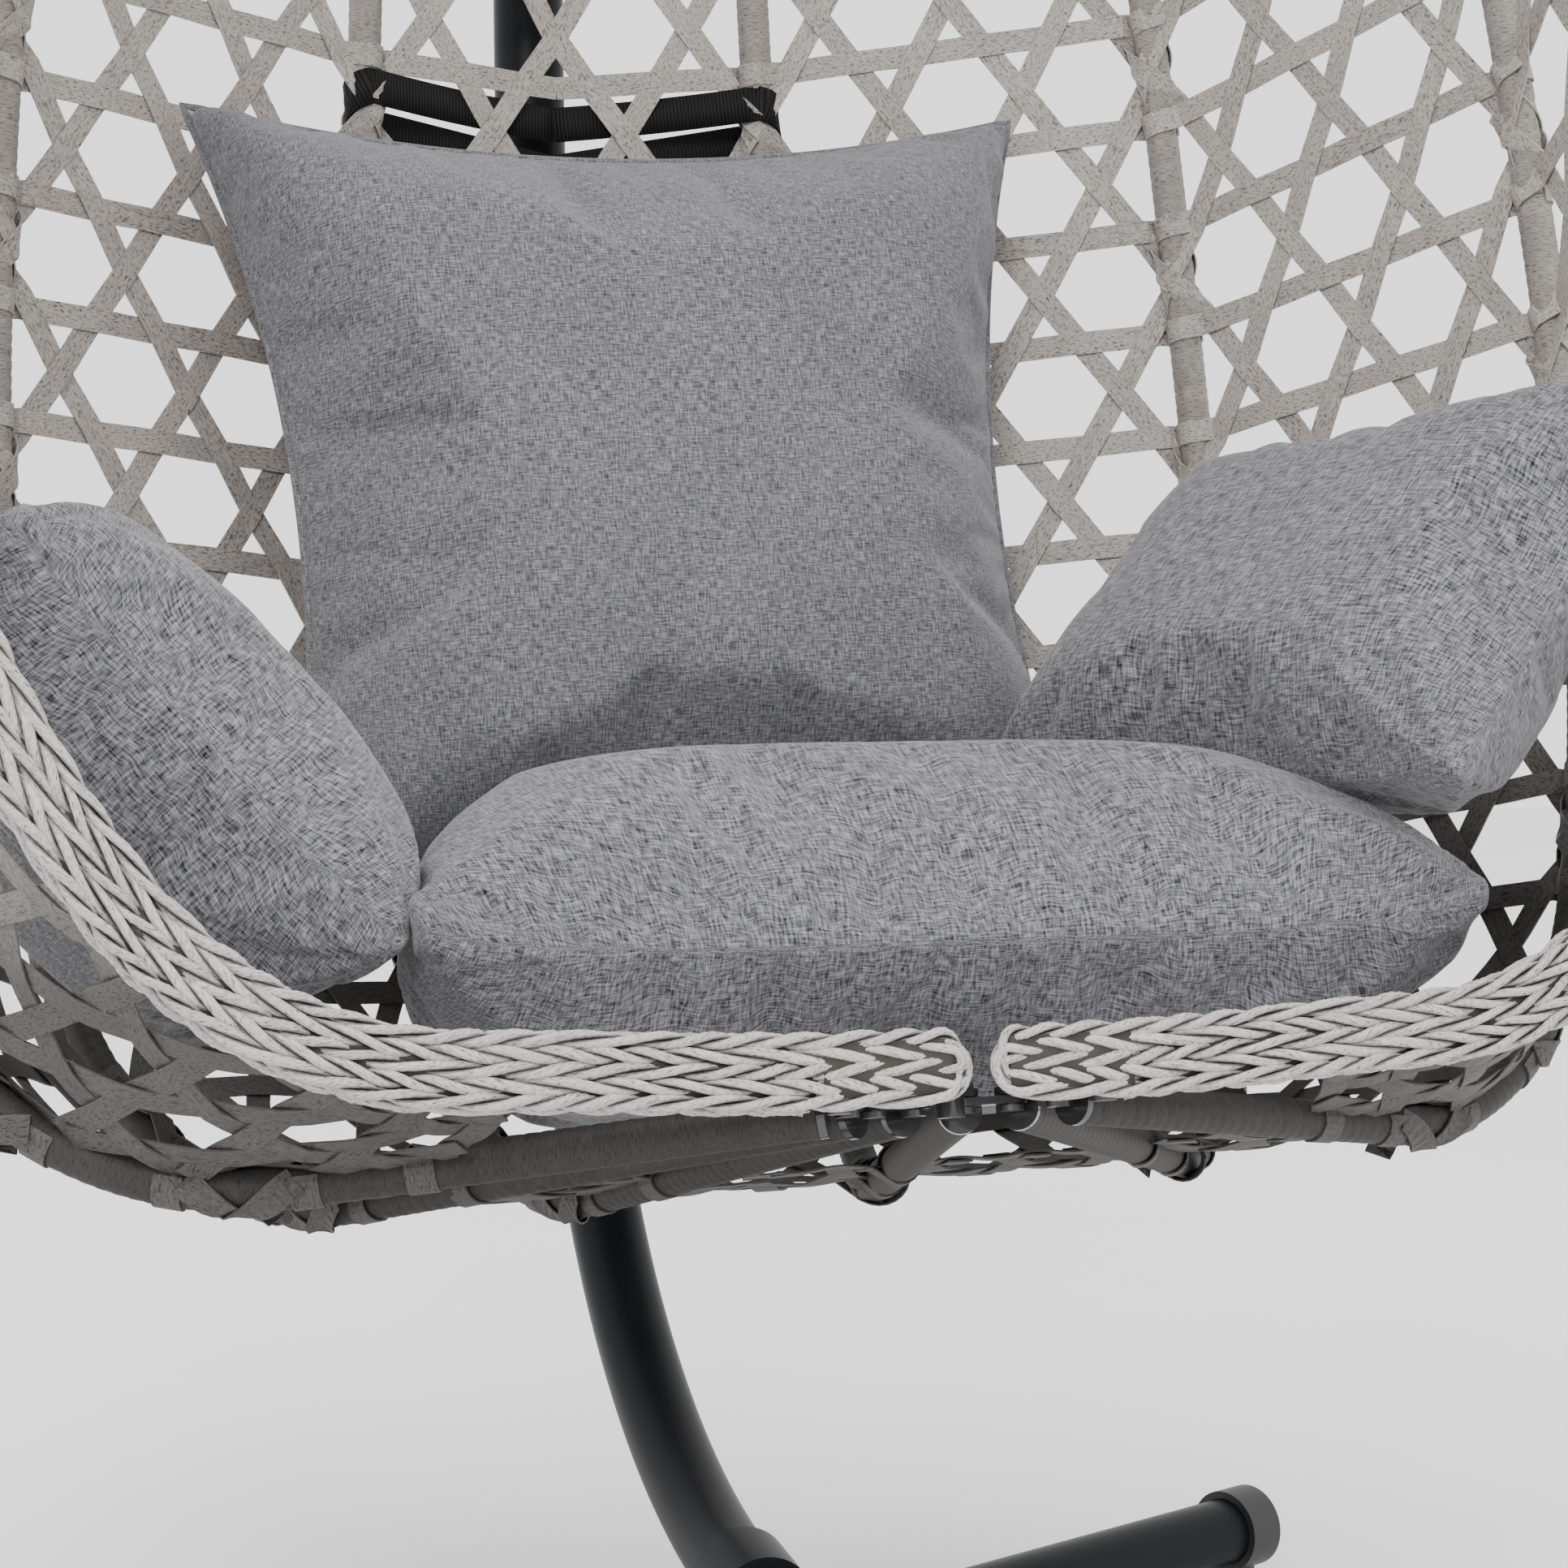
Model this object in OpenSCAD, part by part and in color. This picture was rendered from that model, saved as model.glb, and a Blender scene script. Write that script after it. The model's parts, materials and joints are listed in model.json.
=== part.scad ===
// Hanging egg chair: a folding basket of woven ribs on a curved pole with a four-legged base.
// Row frame: Z up, the seat opens towards -Y, origin on the floor under the middle of the bounding box.

/* [Basket] */
// Height of the lower fold pivots' plane above the floor
pivot_height = 414; // [380:1:450]
// Backward lean of the fold axis, in degrees
lean = 12.85; // [8:0.05:16]
// Length of the fold axis between the lower and upper lugs
basket_height = 1230; // [1150:5:1260]
// Angle of the first rib from straight back, in degrees
first_angle = 12.8; // [12:0.1:13]
// Angle between one rib and the next, in degrees
rib_step = 25.6; // [24:0.1:26]
// Radius of a rib with its wrapping
rib_r = 11; // [9:0.5:11]
// How far back the lower bracket's pivots lie behind the rim's plane
bracket_back = 47; // [44:1:52]
// Height of the rib's widest point along the fold axis
widest_at = 350; // [300:5:400]
// Height of the rim's widest point along the fold axis
rim_widest_at = 450; // [420:5:480]
// Reach of each rib from its own pivot, first rib, second rib, third rib and rim
reach = [585, 578, 526, 447]; // [400:1:600]
// Height of the braided band round the rim
braid_h = 38; // [34:1:42]
// Thickness of the braided band, front to back
braid_t = 30; // [26:1:32]
// Thickness of a woven panel
panel_t = 5; // [3:0.5:8]

/* [Cushions] */
// Seat cushion: width, depth and thickness
seat_size = [585, 400, 172]; // [100:1:640]
// Back pillow: width, height and thickness
pillow_size = [508, 520, 165]; // [100:1:600]
// Left side bolster: width, length and thickness
left_bolster_size = [280, 320, 145]; // [100:1:400]
// Right side bolster: width, length and thickness
right_bolster_size = [300, 400, 130]; // [100:1:420]

/* [Stand] */
// Radius of the pole's tube
pole_r = 24; // [22:0.5:26]
// Radius of a leg's tube
leg_r = 21; // [19:0.5:22]
// Height of a leg's centre line above the floor
leg_height = 37; // [34:1:40]
// Distance of the hub behind the basket's lower pivots
hub_back = 320; // [300:1:340]
// Length of a rear leg from the hub's centre
rear_leg = 431; // [400:1:460]
// Length of a front leg from the hub's centre
front_leg = 560; // [500:1:600]
// Angle of a rear leg behind the sideways direction, in degrees
rear_leg_angle = 24; // [20:1:30]
// Angle of a front leg ahead of the sideways direction, in degrees
front_leg_angle = 45; // [40:1:50]
// Height of the pole's centre line at its top
pole_top = 1934; // [1900:1:1960]
// Distance of the upright pole behind the basket's lower pivots
pole_back = 827; // [820:1:840]

/* [Hanger] */
// Distance of the hanging point behind the basket's lower pivots
hang_back = 387.4; // [360:0.1:400]
// Length of the spring between its two plugs
spring_length = 112; // [100:1:130]

/* [Hidden] */

$fn = 64;
// The bounding box's middle lies this far behind the lower pivots
middle_back = 376.9;
// Clearance of a pin that turns in an eye, and of a pin pressed in one
running_gap = 0.05;
pressed_gap = 0.02;

// Lugs: sideways pitch from one pivot to the next, plate thickness, eye and pin radii
first_pivot = 13;
pitch = [24, 24, 30];
plate_t = 4;
plate_gap = 0.5;
eye_r = 8;
pin_r = 3;
pin_head_r = 6;
pin_head_t = 3;
tube_start = 14;
plug_t = 4;
lower_level = -10;
upper_level = basket_height;
rim_lower_level = 8;

// Headings of the arcs that make a rib and the rim, in degrees from straight outwards
rib_headings = [-3, 70, 90, 101, 178];
rim_headings = [3, 55, 90, 110, 175];
// Straight part under the seat ends this far short of the rib's reach
rib_bend_w = 250;
rim_bend_w = 265;

// Pole headings, in degrees from straight back
pole_headings = [8, 72, 90];
pole_start = [360, 76.8];
pole_stub = 45;
pole_upright_z = 1114;
pole_bend = 430;
sleeve_heading = 79;

// Hub and leg sockets
hub_r = 75;
hub_bottom = 12;
hub_top = 62;
socket_start = 40;
socket_gap = 0.3;
bolt_r = 4;
bolt_head_r = 8;
bolt_head_t = 5;

// Hanger stack
wire_r = 4;
eye_wire_r = 5;
eye_hang = 28;
ring_gap = 0.3;
eye_bar_z = pole_top - pole_r - eye_hang;
carabiner_r = eye_wire_r + ring_gap + wire_r;
carabiner_drop = 52;
side_axis_z = eye_bar_z - carabiner_drop - carabiner_r;
swivel_r = wire_r + ring_gap + wire_r;
swivel_drop = 12;
shank_r = 6;
housing_top = side_axis_z - swivel_drop - swivel_r - wire_r - 3;
housing_h = 30;
spring_r = 22;
spring_wire = 5;
spring_top = housing_top - housing_h;
spring_bottom = spring_top - spring_length;

function sum(v, i = 0) = i < len(v) ? v[i] + sum(v, i + 1) : 0;

// Fan angle of rib 1, 2, 3 and of the rim, which counts as 4
function fan_angle(k) = first_angle + rib_step * (k - 1);

// Where rib k's pivot lies in the fan frame, seen along the fold axis
function pivot(k) = k == 1
    ? [first_pivot, bracket_back]
    : pivot(k - 1) + pitch[k - 2] * [cos(fan_angle(k - 1)), -sin(fan_angle(k - 1))];

// Radii of two arcs with headings h0, h1 and h2 that together cover the step d
function two_arcs(d, h0, h1, h2) =
    let (a = [sin(h1) - sin(h0), cos(h0) - cos(h1)])
    let (b = [sin(h2) - sin(h1), cos(h1) - cos(h2)])
    let (det = a[0] * b[1] - a[1] * b[0])
    [(d[0] * b[1] - d[1] * b[0]) / det, (a[0] * d[1] - a[1] * d[0]) / det];

// A path is a list of [radius, turn] arcs and [0, length] lines, drawn from a start with a heading
function seg_end(p, h, seg) = seg[0] == 0
    ? p + seg[1] * [cos(h), sin(h)]
    : p + seg[0] * [sin(h + seg[1]) - sin(h), cos(h) - cos(h + seg[1])];
function seg_heading(h, seg) = seg[0] == 0 ? h : h + seg[1];
function part_of(seg, f) = [seg[0], seg[1] * f];

// Stations [outwards, up, heading] along a path, n to each piece
function stations(path, p, h, n, i = 0) = i == len(path)
    ? [[p[0], p[1], h]]
    : concat(
        [for (j = [0:n - 1]) let (s = part_of(path[i], j / n), e = seg_end(p, h, s))
            [e[0], e[1], seg_heading(h, s)]],
        stations(path, seg_end(p, h, path[i]), seg_heading(h, path[i]), n, i + 1));

function level(k) = k == 4 ? rim_lower_level : lower_level;
function headings(k) = k == 4 ? rim_headings : rib_headings;
function widest(k) = k == 4 ? rim_widest_at : widest_at;
function bend_w(k) = k == 4 ? rim_bend_w : rib_bend_w;

// The centre line of rib k from its lower lug to its upper lug, in its own plane
function rib_path(k, r) =
    let (h = headings(k), run_l = (r - bend_w(k) - tube_start) / cos(h[0]))
    let (rise = widest(k) - level(k) - run_l * sin(h[0]))
    let (low = two_arcs([bend_w(k), rise], h[0], h[1], h[2]))
    let (high = two_arcs([tube_start - r, upper_level - widest(k)], h[2], h[3], h[4]))
    [[0, run_l], [low[0], h[1] - h[0]], [low[1], h[2] - h[1]],
     [high[0], h[3] - h[2]], [high[1], h[4] - h[3]]];

function rib_stations(k, r, n) = stations(rib_path(k, r), [tube_start, level(k)], headings(k)[0], n);

// Points of a round profile: away from the arcs' centres, then sideways
function round_profile(r, n) = [for (i = [0:n - 1]) r * [cos(360 * i / n), sin(360 * i / n)]];

// Sweeps a profile, hollow if inner is given, along stations in the YZ plane
module swept(at, outer, inner = []) {
    n = len(outer);
    ring = n + len(inner);
    count = len(at);
    points = [for (s = at, q = concat(outer, inner))
        [q[1], s[0] + q[0] * sin(s[2]), s[1] - q[0] * cos(s[2])]];
    walls = [for (i = [0:count - 2], j = [0:n - 1])
        let (p = ring * i + j, q = ring * i + (j + 1) % n)
        each [[p, q, q + ring], [p, q + ring, p + ring]]];
    bore = [for (i = [0:count - 2], j = [n:ring - 1])
        let (p = ring * i + j, q = ring * i + n + (j + 1 - n) % n)
        each [[p, q + ring, q], [p, p + ring, q + ring]]];
    far = ring * (count - 1);
    caps = len(inner) == 0
        ? [[for (j = [n - 1:-1:0]) j], [for (j = [0:n - 1]) far + j]]
        : [for (j = [0:n - 1]) let (q = (j + 1) % n)
            each [[j, n + j, n + q], [j, n + q, q],
                  [far + j, far + n + q, far + n + j], [far + j, far + q, far + n + q]]];
    polyhedron(points = points, faces = concat(walls, bore, caps), convexity = 8);
}

// Draws a round bar from a point with a heading, in the YZ plane
module straight_bar(p, h, length, r) {
    translate([0, p[0], p[1]]) rotate([h - 90, 0, 0]) cylinder(h = length, r = r);
}

// Moves from the lower pivots' frame, floor level, to the row frame
module placed() {
    translate([0, -middle_back, 0]) children();
}

// The fan frame: Z along the fold axis, Y straight back from the rim's plane
module fan() {
    placed() translate([0, 0, pivot_height]) rotate([-lean, 0, 0]) children();
}

// The plane of rib k on one side: Y outwards along the rib, X away from the middle
module rib_plane(k, side) {
    fan() mirror([side < 0 ? 1 : 0, 0, 0])
        translate([pivot(k)[0], pivot(k)[1], 0]) rotate([0, 0, -fan_angle(k)]) children();
}

module rib(k, side) {
    rib_plane(k, side) swept(rib_stations(k, reach[k - 1], 8), round_profile(rib_r, 12));
}

// Levels of the two plates that meet on a pin: odd bodies take the lower one
function plate_z(k, base) = base + (k % 2 == 1 ? 0 : plate_t + plate_gap);

module eye_plate(k, base, outer) {
    z = plate_z(k, base);
    difference() {
        union() {
            translate([0, 0, z]) cylinder(h = plate_t, r = eye_r);
            translate([-eye_r, 0, z]) cube([2 * eye_r, tube_start - plug_t, plate_t]);
            if (outer) {
                translate([pitch[k - 1], 0, z]) cylinder(h = plate_t, r = eye_r);
                translate([0, -eye_r, z]) cube([pitch[k - 1], 2 * eye_r, plate_t]);
            }
        }
        translate([0, 0, z - 1]) cylinder(h = plate_t + 2, r = pin_r + running_gap);
        if (outer) {
            translate([pitch[k - 1], 0, z - 1]) cylinder(h = plate_t + 2, r = pin_r + pressed_gap);
        }
    }
}

// The round plug that closes a tube's end and carries the eye plate
module tube_plug(at, heading) {
    translate([0, tube_start, at]) rotate([heading - 90, 0, 0]) translate([0, 0, -plug_t])
        cylinder(h = plug_t, r = rib_r);
}

module lug_pair(k, side) {
    color("#1c1c1e") rib_plane(k, side) {
        eye_plate(k, lower_base, k < 4);
        tube_plug(level(k), headings(k)[0]);
        eye_plate(k, upper_base, k < 4);
        tube_plug(upper_level, headings(k)[4] + 180);
    }
}

lower_base = -8;
upper_base = basket_height - 6;

// One pin with two heads, through both plates of a pivot
module pin(base) {
    translate([0, 0, base - plate_gap]) cylinder(h = 2 * plate_t + 3 * plate_gap, r = pin_r);
    for (z = [base - plate_gap - pin_head_t, base + 2 * plate_t + 2 * plate_gap]) {
        translate([0, 0, z]) cylinder(h = pin_head_t, r = pin_head_r);
    }
}

module pins_of_rib(k, side) {
    color("#3a3a3d") rib_plane(k, side) {
        for (base = [lower_base, upper_base]) {
            translate([pitch[k - 1], 0, 0]) pin(base);
        }
    }
}

module pins_bracket() {
    color("#3a3a3d") fan() {
        for (side = [-1, 1], base = [lower_base, upper_base]) {
            translate([side * first_pivot, bracket_back, 0]) pin(base);
        }
    }
}

// Plate of a bracket with the two first eyes
module bracket_plate(base) {
    z = plate_z(0, base);
    difference() {
        union() {
            for (side = [-1, 1]) {
                translate([side * first_pivot, bracket_back, z]) cylinder(h = plate_t, r = eye_r);
            }
            translate([-first_pivot, bracket_back - 2 * eye_r, z]) cube([2 * first_pivot, 3 * eye_r, plate_t]);
        }
        for (side = [-1, 1]) {
            translate([side * first_pivot, bracket_back, z - 1])
                cylinder(h = plate_t + 2, r = pin_r + pressed_gap);
        }
    }
}

// Lower bracket: the plate and the locking barrel in front of it
module bracket_lower() {
    color("#141416") fan() {
        bracket_plate(lower_base);
        translate([0, bracket_back - 2 * eye_r, lower_base - 6]) cylinder(h = 24, r = 7);
        translate([0, bracket_back - 2 * eye_r, lower_base + 18]) cylinder(h = 5, r = 10);
    }
}

// Upper bracket: the plate, an arm back over the ribs, and the upright post that carries the
// spring's lower plug over the basket's centre of mass
module bracket_upper() {
    post_r = 9;
    web_w = 11;
    web_h = 21;
    flange_t = 6;
    front = bracket_back - 2 * eye_r;
    plug_room = 0.05;
    post_top = spring_bottom - 10 - plug_room;
    arm_z = upper_base + web_h + flange_t / 2;
    arm_back = (hang_back - arm_z * sin(lean)) / cos(lean);
    post_foot = pivot_height + arm_z * cos(lean) - arm_back * sin(lean);
    color("#141416") {
        fan() {
            bracket_plate(upper_base);
            translate([-web_w / 2, front, plate_z(0, upper_base)]) cube([web_w, 3 * eye_r - 1, web_h]);
            translate([-14, front, upper_base + web_h]) cube([28, arm_back + 14 - front, flange_t]);
        }
        placed() translate([0, hang_back, post_foot]) cylinder(h = post_top - post_foot, r = post_r);
    }
}

// Outer profile of the braided band: a rounded box round the rim's tube
function braid_profile(n) = [for (q = round_profile(1, n))
    let (r = pow(pow(abs(q[0]) / (braid_h / 2), 4) + pow(abs(q[1]) / (braid_t / 2), 4), -0.25)) r * q];

// The braid follows the rim, and its flat lower end covers the lugs up to the middle
module braid(side) {
    end_gap = 4;
    tail = pivot(4)[0] - end_gap;
    tail_t = 3.5;
    color("#9d9688") rib_plane(4, side) {
        swept(rib_stations(4, reach[3], 8), braid_profile(12), round_profile(rib_r + 0.6, 12));
        translate([braid_t / 2 - tail_t, -tail, rim_lower_level - braid_h / 2])
            cube([tail_t, tail + tube_start + 4, braid_h]);
    }
}

// Corners of a panel's cross-section at one station: inner and outer face on each edge
function panel_corner(k, at, shift, out) =
    let (a = k == 0 ? 0 : fan_angle(k), o = k == 0 ? [0, bracket_back] : pivot(k))
    let (w = at[0] + out * sin(at[2]), z = at[1] - out * cos(at[2]))
    [o[0] + w * sin(a) + shift * cos(a), o[1] + w * cos(a) - shift * sin(a), z];

// A woven panel between ribs k and k + 1; k = 0 is the middle of the back
module panel(k, side) {
    n = 9;
    margin = rib_r + 1;
    far_margin = k == 3 ? braid_t / 2 + 1 : margin;
    skip = 1;
    a = rib_stations(max(k, 1), k == 0 ? reach[0] + 8 : reach[k - 1], n);
    b = rib_stations(k + 1, reach[k], n);
    last = len(a) - 1 - skip;
    rings = [for (i = [skip:last]) each [
        panel_corner(k, a[i], k == 0 ? 0.3 : margin, -panel_t / 2),
        panel_corner(k, a[i], k == 0 ? 0.3 : margin, panel_t / 2),
        panel_corner(k + 1, b[i], -far_margin, panel_t / 2),
        panel_corner(k + 1, b[i], -far_margin, -panel_t / 2)]];
    count = len(rings) / 4;
    end = 4 * count - 4;
    faces = concat(
        [[0, 1, 2], [0, 2, 3]],
        [for (i = [0:count - 2], j = [0:3])
            let (p = 4 * i + j, q = 4 * i + (j + 1) % 4)
            each [[p, p + 4, q + 4], [p, q + 4, q]]],
        [[end + 3, end + 2, end + 1], [end + 3, end + 1, end]]);
    color("#8c8578") fan() mirror([side < 0 ? 1 : 0, 0, 0])
        polyhedron(points = rings, faces = faces, convexity = 6);
}

// A stuffed cushion lying in the XY plane: crowned faces, sides pulled in between its corners,
// and its rear edge narrowed, or widened, by the share taper
module cushion(size, pull, taper) {
    n = 14;
    edge = 3;
    half = size / 2;
    rows = [for (j = [0:n]) let (y = -1 + 2 * j / n)
        [for (i = [0:n]) let (x = -1 + 2 * i / n)
            [half[0] * x * (1 - pull * (1 - y * y)) * (1 - taper * pow((y + 1) / 2, 2)),
             half[1] * y * (1 - pull * (1 - x * x)),
             edge + (half[2] - edge) * sqrt((1 - pow(x, 4)) * (1 - pow(y, 4)))]]];
    top = [for (r = rows) each r];
    m = n + 1;
    count = m * m;
    all_points = concat(top, [for (p = top) [p[0], p[1], -p[2]]]);
    quads = [for (j = [0:n - 1], i = [0:n - 1]) j * m + i];
    rim_cells = concat(
        [for (i = [0:n - 1]) i],
        [for (j = [0:n - 1]) j * m + n],
        [for (i = [0:n - 1]) n * m + n - i],
        [for (j = [0:n - 1]) (n - j) * m]);
    faces = concat(
        [for (q = quads) each [[q, q + m, q + m + 1], [q, q + m + 1, q + 1]]],
        [for (q = quads) each [[count + q, count + q + m + 1, count + q + m],
                               [count + q, count + q + 1, count + q + m + 1]]],
        [for (i = [0:len(rim_cells) - 1])
            let (p = rim_cells[i], q = rim_cells[(i + 1) % len(rim_cells)])
            each [[p, q, count + q], [p, count + q, count + p]]]);
    polyhedron(points = all_points, faces = faces, convexity = 4);
}

module seat_cushion() {
    color("#85888d") fan() translate([35, 250, 96]) cushion(seat_size, 0.05, 0.3);
}

module back_pillow() {
    color("#85888d") fan() translate([8, 466, 405]) rotate([85, 0, 0]) rotate([0, 0, 1.4])
        cushion(pillow_size, 0.13, -0.08);
}

module bolster_left() {
    color("#85888d") fan() translate([-360, 214, 186]) rotate([0, 49, 3])
        cushion(left_bolster_size, 0.06, 0);
}

module bolster_right() {
    color("#85888d") fan() translate([336, 222, 274]) rotate([8, -47, 10])
        cushion(right_bolster_size, 0.06, 0);
}

// Direction of each leg in the floor's plane: rear left, rear right, front left, front right
leg_angles = [180 - rear_leg_angle, rear_leg_angle, 180 + front_leg_angle, -front_leg_angle];
leg_lengths = [rear_leg, rear_leg, front_leg, front_leg];

module on_leg(i) {
    placed() translate([0, hub_back, leg_height]) rotate([0, 0, leg_angles[i]]) children();
}

module leg(i) {
    color("#26272a") on_leg(i) difference() {
        translate([socket_start, 0, 0]) rotate([0, 90, 0])
            cylinder(h = leg_lengths[i] - socket_start, r = leg_r);
        translate([socket_start - 1, 0, 0]) rotate([0, 90, 0])
            cylinder(h = leg_lengths[i] - socket_start + 2, r = leg_r - 1.5);
        leg_bolt_hole();
    }
}

module leg_bolt_hole() {
    translate([(socket_start + hub_r) / 2 + 4, 0, -leg_height]) cylinder(h = 120, r = bolt_r + 0.1);
}

// Caps over the legs' ends, each with a foot block under it
module leg_caps() {
    cap_r = 26;
    cap_l = 26;
    color("#0f0f10") for (i = [0:3]) on_leg(i) difference() {
        union() {
            translate([leg_lengths[i] - cap_l + 4, 0, 0]) rotate([0, 90, 0]) cylinder(h = cap_l, r = cap_r);
            translate([leg_lengths[i] - 11, 0, -leg_height]) cylinder(h = leg_height - 20, r = 13);
        }
        translate([leg_lengths[i] - cap_l, 0, 0]) rotate([0, 90, 0]) cylinder(h = cap_l, r = leg_r + socket_gap);
    }
}

module base_hub() {
    color("#26272a") difference() {
        union() {
            placed() translate([0, hub_back, hub_bottom]) cylinder(h = hub_top - hub_bottom, r = hub_r);
            placed() straight_bar(pole_end(pole_stub), pole_headings[0], pole_stub, pole_r + 6);
        }
        placed() straight_bar(pole_end(pole_stub - 10), pole_headings[0], pole_stub + 30, pole_r + socket_gap);
        for (i = [0:3]) on_leg(i) {
            translate([socket_start - socket_gap, 0, 0]) rotate([0, 90, 0])
                cylinder(h = hub_r, r = leg_r + socket_gap);
            leg_bolt_hole();
        }
    }
}

// A point on the pole's lower stub, the given length short of where its bend starts
function pole_end(back) = pole_start - back * [cos(pole_headings[0]), sin(pole_headings[0])];

module hub_bolts() {
    color("#3a3a3d") for (i = [0:3]) on_leg(i) translate([(socket_start + hub_r) / 2 + 4, 0, -leg_height]) {
        translate([0, 0, hub_bottom + 1]) cylinder(h = hub_top - hub_bottom - 1 , r = bolt_r);
        translate([0, 0, hub_top]) cylinder(h = bolt_head_t, r = bolt_head_r, $fn = 6);
    }
}

// The pole's arcs from the hub to where it stands upright
pole_arcs = two_arcs([pole_back, pole_upright_z] - pole_start,
    pole_headings[0], pole_headings[1], pole_headings[2]);

module pole_tube(path, p, h) {
    placed() swept(stations(path, p, h, 8), round_profile(pole_r, 24), round_profile(pole_r - 1.8, 24));
}

pole_low_path = [[0, pole_stub - 10.5], [pole_arcs[0], pole_headings[1] - pole_headings[0]],
                 [pole_arcs[1], sleeve_heading - pole_headings[1]]];
pole_low_start = pole_end(pole_stub - 10.5);

function path_end(path, p, h, i = 0) = i == len(path)
    ? p
    : path_end(path, seg_end(p, h, path[i]), seg_heading(h, path[i]), i + 1);

pole_joint = path_end(pole_low_path, pole_low_start, pole_headings[0]);

module pole_lower() {
    color("#26272a") difference() {
        pole_tube(pole_low_path, pole_low_start, pole_headings[0]);
        sleeve_bolt_holes();
    }
}

// The upper pole: the rest of the long bend, a straight, the top bend and a short tip
pole_high_path = [[pole_arcs[1], 90 - sleeve_heading],
                  [0, pole_top - pole_bend - pole_upright_z],
                  [pole_bend, 90],
                  [0, pole_back - pole_bend - hang_back + 40]];

module pole_upper() {
    color("#26272a") difference() {
        pole_tube(pole_high_path, pole_joint, sleeve_heading);
        sleeve_bolt_holes();
    }
}

// Sleeve over the joint of the two pole halves
module pole_sleeve() {
    half = 66;
    foot = pole_joint - half * [cos(sleeve_heading), sin(sleeve_heading)];
    color("#1c1c1e") difference() {
        placed() straight_bar(foot, sleeve_heading, 2 * half, pole_r + 4);
        placed() straight_bar(foot - [0, 1], sleeve_heading, 2 * half + 3, pole_r + 1.2);
        sleeve_bolt_holes();
    }
}

module at_sleeve_bolts() {
    for (d = [-38, 38]) {
        placed() translate([0, pole_joint[0] + d * cos(sleeve_heading), pole_joint[1] + d * sin(sleeve_heading)])
            rotate([0, 90, 0]) children();
    }
}

module sleeve_bolt_holes() {
    at_sleeve_bolts() translate([0, 0, -60]) cylinder(h = 120, r = 3.1);
}

module sleeve_bolts() {
    reach_x = pole_r + 4.1;
    color("#3a3a3d") at_sleeve_bolts() {
        translate([0, 0, -reach_x]) cylinder(h = 2 * reach_x, r = 3);
        for (s = [-1, 1]) {
            translate([0, 0, s > 0 ? reach_x : -reach_x - 4]) cylinder(h = 4, r = 6);
        }
    }
}

module pole_top_cap() {
    color("#0f0f10") placed() translate([0, hang_back - 40, pole_top]) rotate([90, 0, 0]) {
        cylinder(h = 3, r = pole_r);
        translate([0, 0, 3]) cylinder(h = 2, r = pole_r - 3);
        translate([0, 0, -12]) cylinder(h = 12, r = pole_r - 2);
    }
}

// A wire ring standing upright: two half rings and two straight sides, with its lower end at z = 0
module wire_ring(r, drop, wire) {
    rotate([90, 0, 0]) {
        translate([0, drop, 0]) rotate_extrude(angle = 180) translate([r, 0]) circle(wire);
        rotate([0, 0, 180]) rotate_extrude(angle = 180) translate([r, 0]) circle(wire);
        for (s = [-1, 1]) {
            translate([s * r, 0, 0]) rotate([-90, 0, 0]) cylinder(h = drop, r = wire);
        }
    }
}

// Eye under the pole's tip, with a straight bar along X that the carabiner hangs on
module pole_eye() {
    half = 16;
    rise = pole_top - pole_r - eye_bar_z + 4;
    color("#26272a") difference() {
        placed() translate([0, hang_back, eye_bar_z]) {
            translate([-half, 0, 0]) rotate([0, 90, 0]) cylinder(h = 2 * half, r = eye_wire_r);
            for (s = [-1, 1]) {
                translate([s * half, 0, 0]) sphere(eye_wire_r);
                translate([s * half, 0, 0]) cylinder(h = rise + 6, r = eye_wire_r);
            }
        }
        placed() translate([0, hang_back, pole_top]) rotate([90, 0, 0])
            cylinder(h = 80, r = pole_r + 0.1, center = true);
    }
}

module carabiner() {
    color("#b9bcc0") placed() translate([0, hang_back, eye_bar_z - carabiner_drop]) rotate([0, 0, 90])
        wire_ring(carabiner_r, carabiner_drop, wire_r);
}

// Ring on the carabiner with a shank that turns in the housing below it
module swivel_eye() {
    color("#b9bcc0") placed() translate([0, hang_back, side_axis_z - swivel_drop]) {
        wire_ring(swivel_r, swivel_drop, wire_r);
        translate([0, 0, -swivel_r - 24]) cylinder(h = 24, r = shank_r);
        translate([0, 0, -swivel_r - 24 - 4]) cylinder(h = 4, r = shank_r + 4);
    }
}

// Housing that turns on the shank and holds the spring's upper end
module swivel_housing() {
    shank_end = side_axis_z - swivel_drop - swivel_r - 28;
    color("#3a3a3d") placed() translate([0, hang_back, 0]) difference() {
        union() {
            translate([0, 0, spring_top]) cylinder(h = housing_h, r = 16);
            translate([0, 0, spring_top]) cylinder(h = 8, r = spring_r + 1);
        }
        translate([0, 0, spring_top - 1]) cylinder(h = housing_h + 2, r = shank_r + running_gap);
        translate([0, 0, spring_top - 1]) cylinder(h = shank_end + 4.5 - spring_top + 1, r = shank_r + 4.5);
    }
}

// Closed coils of the spring as one ribbed tube
module spring() {
    coils = floor((spring_length - 1) / spring_wire);
    color("#26272a") placed() translate([0, hang_back, spring_bottom + 0.5]) rotate_extrude()
        for (i = [0:coils - 1]) {
            translate([spring_r - spring_wire, i * spring_wire]) square([spring_wire - 0.8, spring_wire]);
            translate([spring_r - spring_wire + 1, (i + 0.5) * spring_wire]) circle(d = spring_wire - 0.2, $fn = 24);
        }
}

module spring_plug_lower() {
    color("#3a3a3d") placed() translate([0, hang_back, 0]) {
        translate([0, 0, spring_bottom - 10]) cylinder(h = 10, r = spring_r + 1);
    }
}

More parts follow.
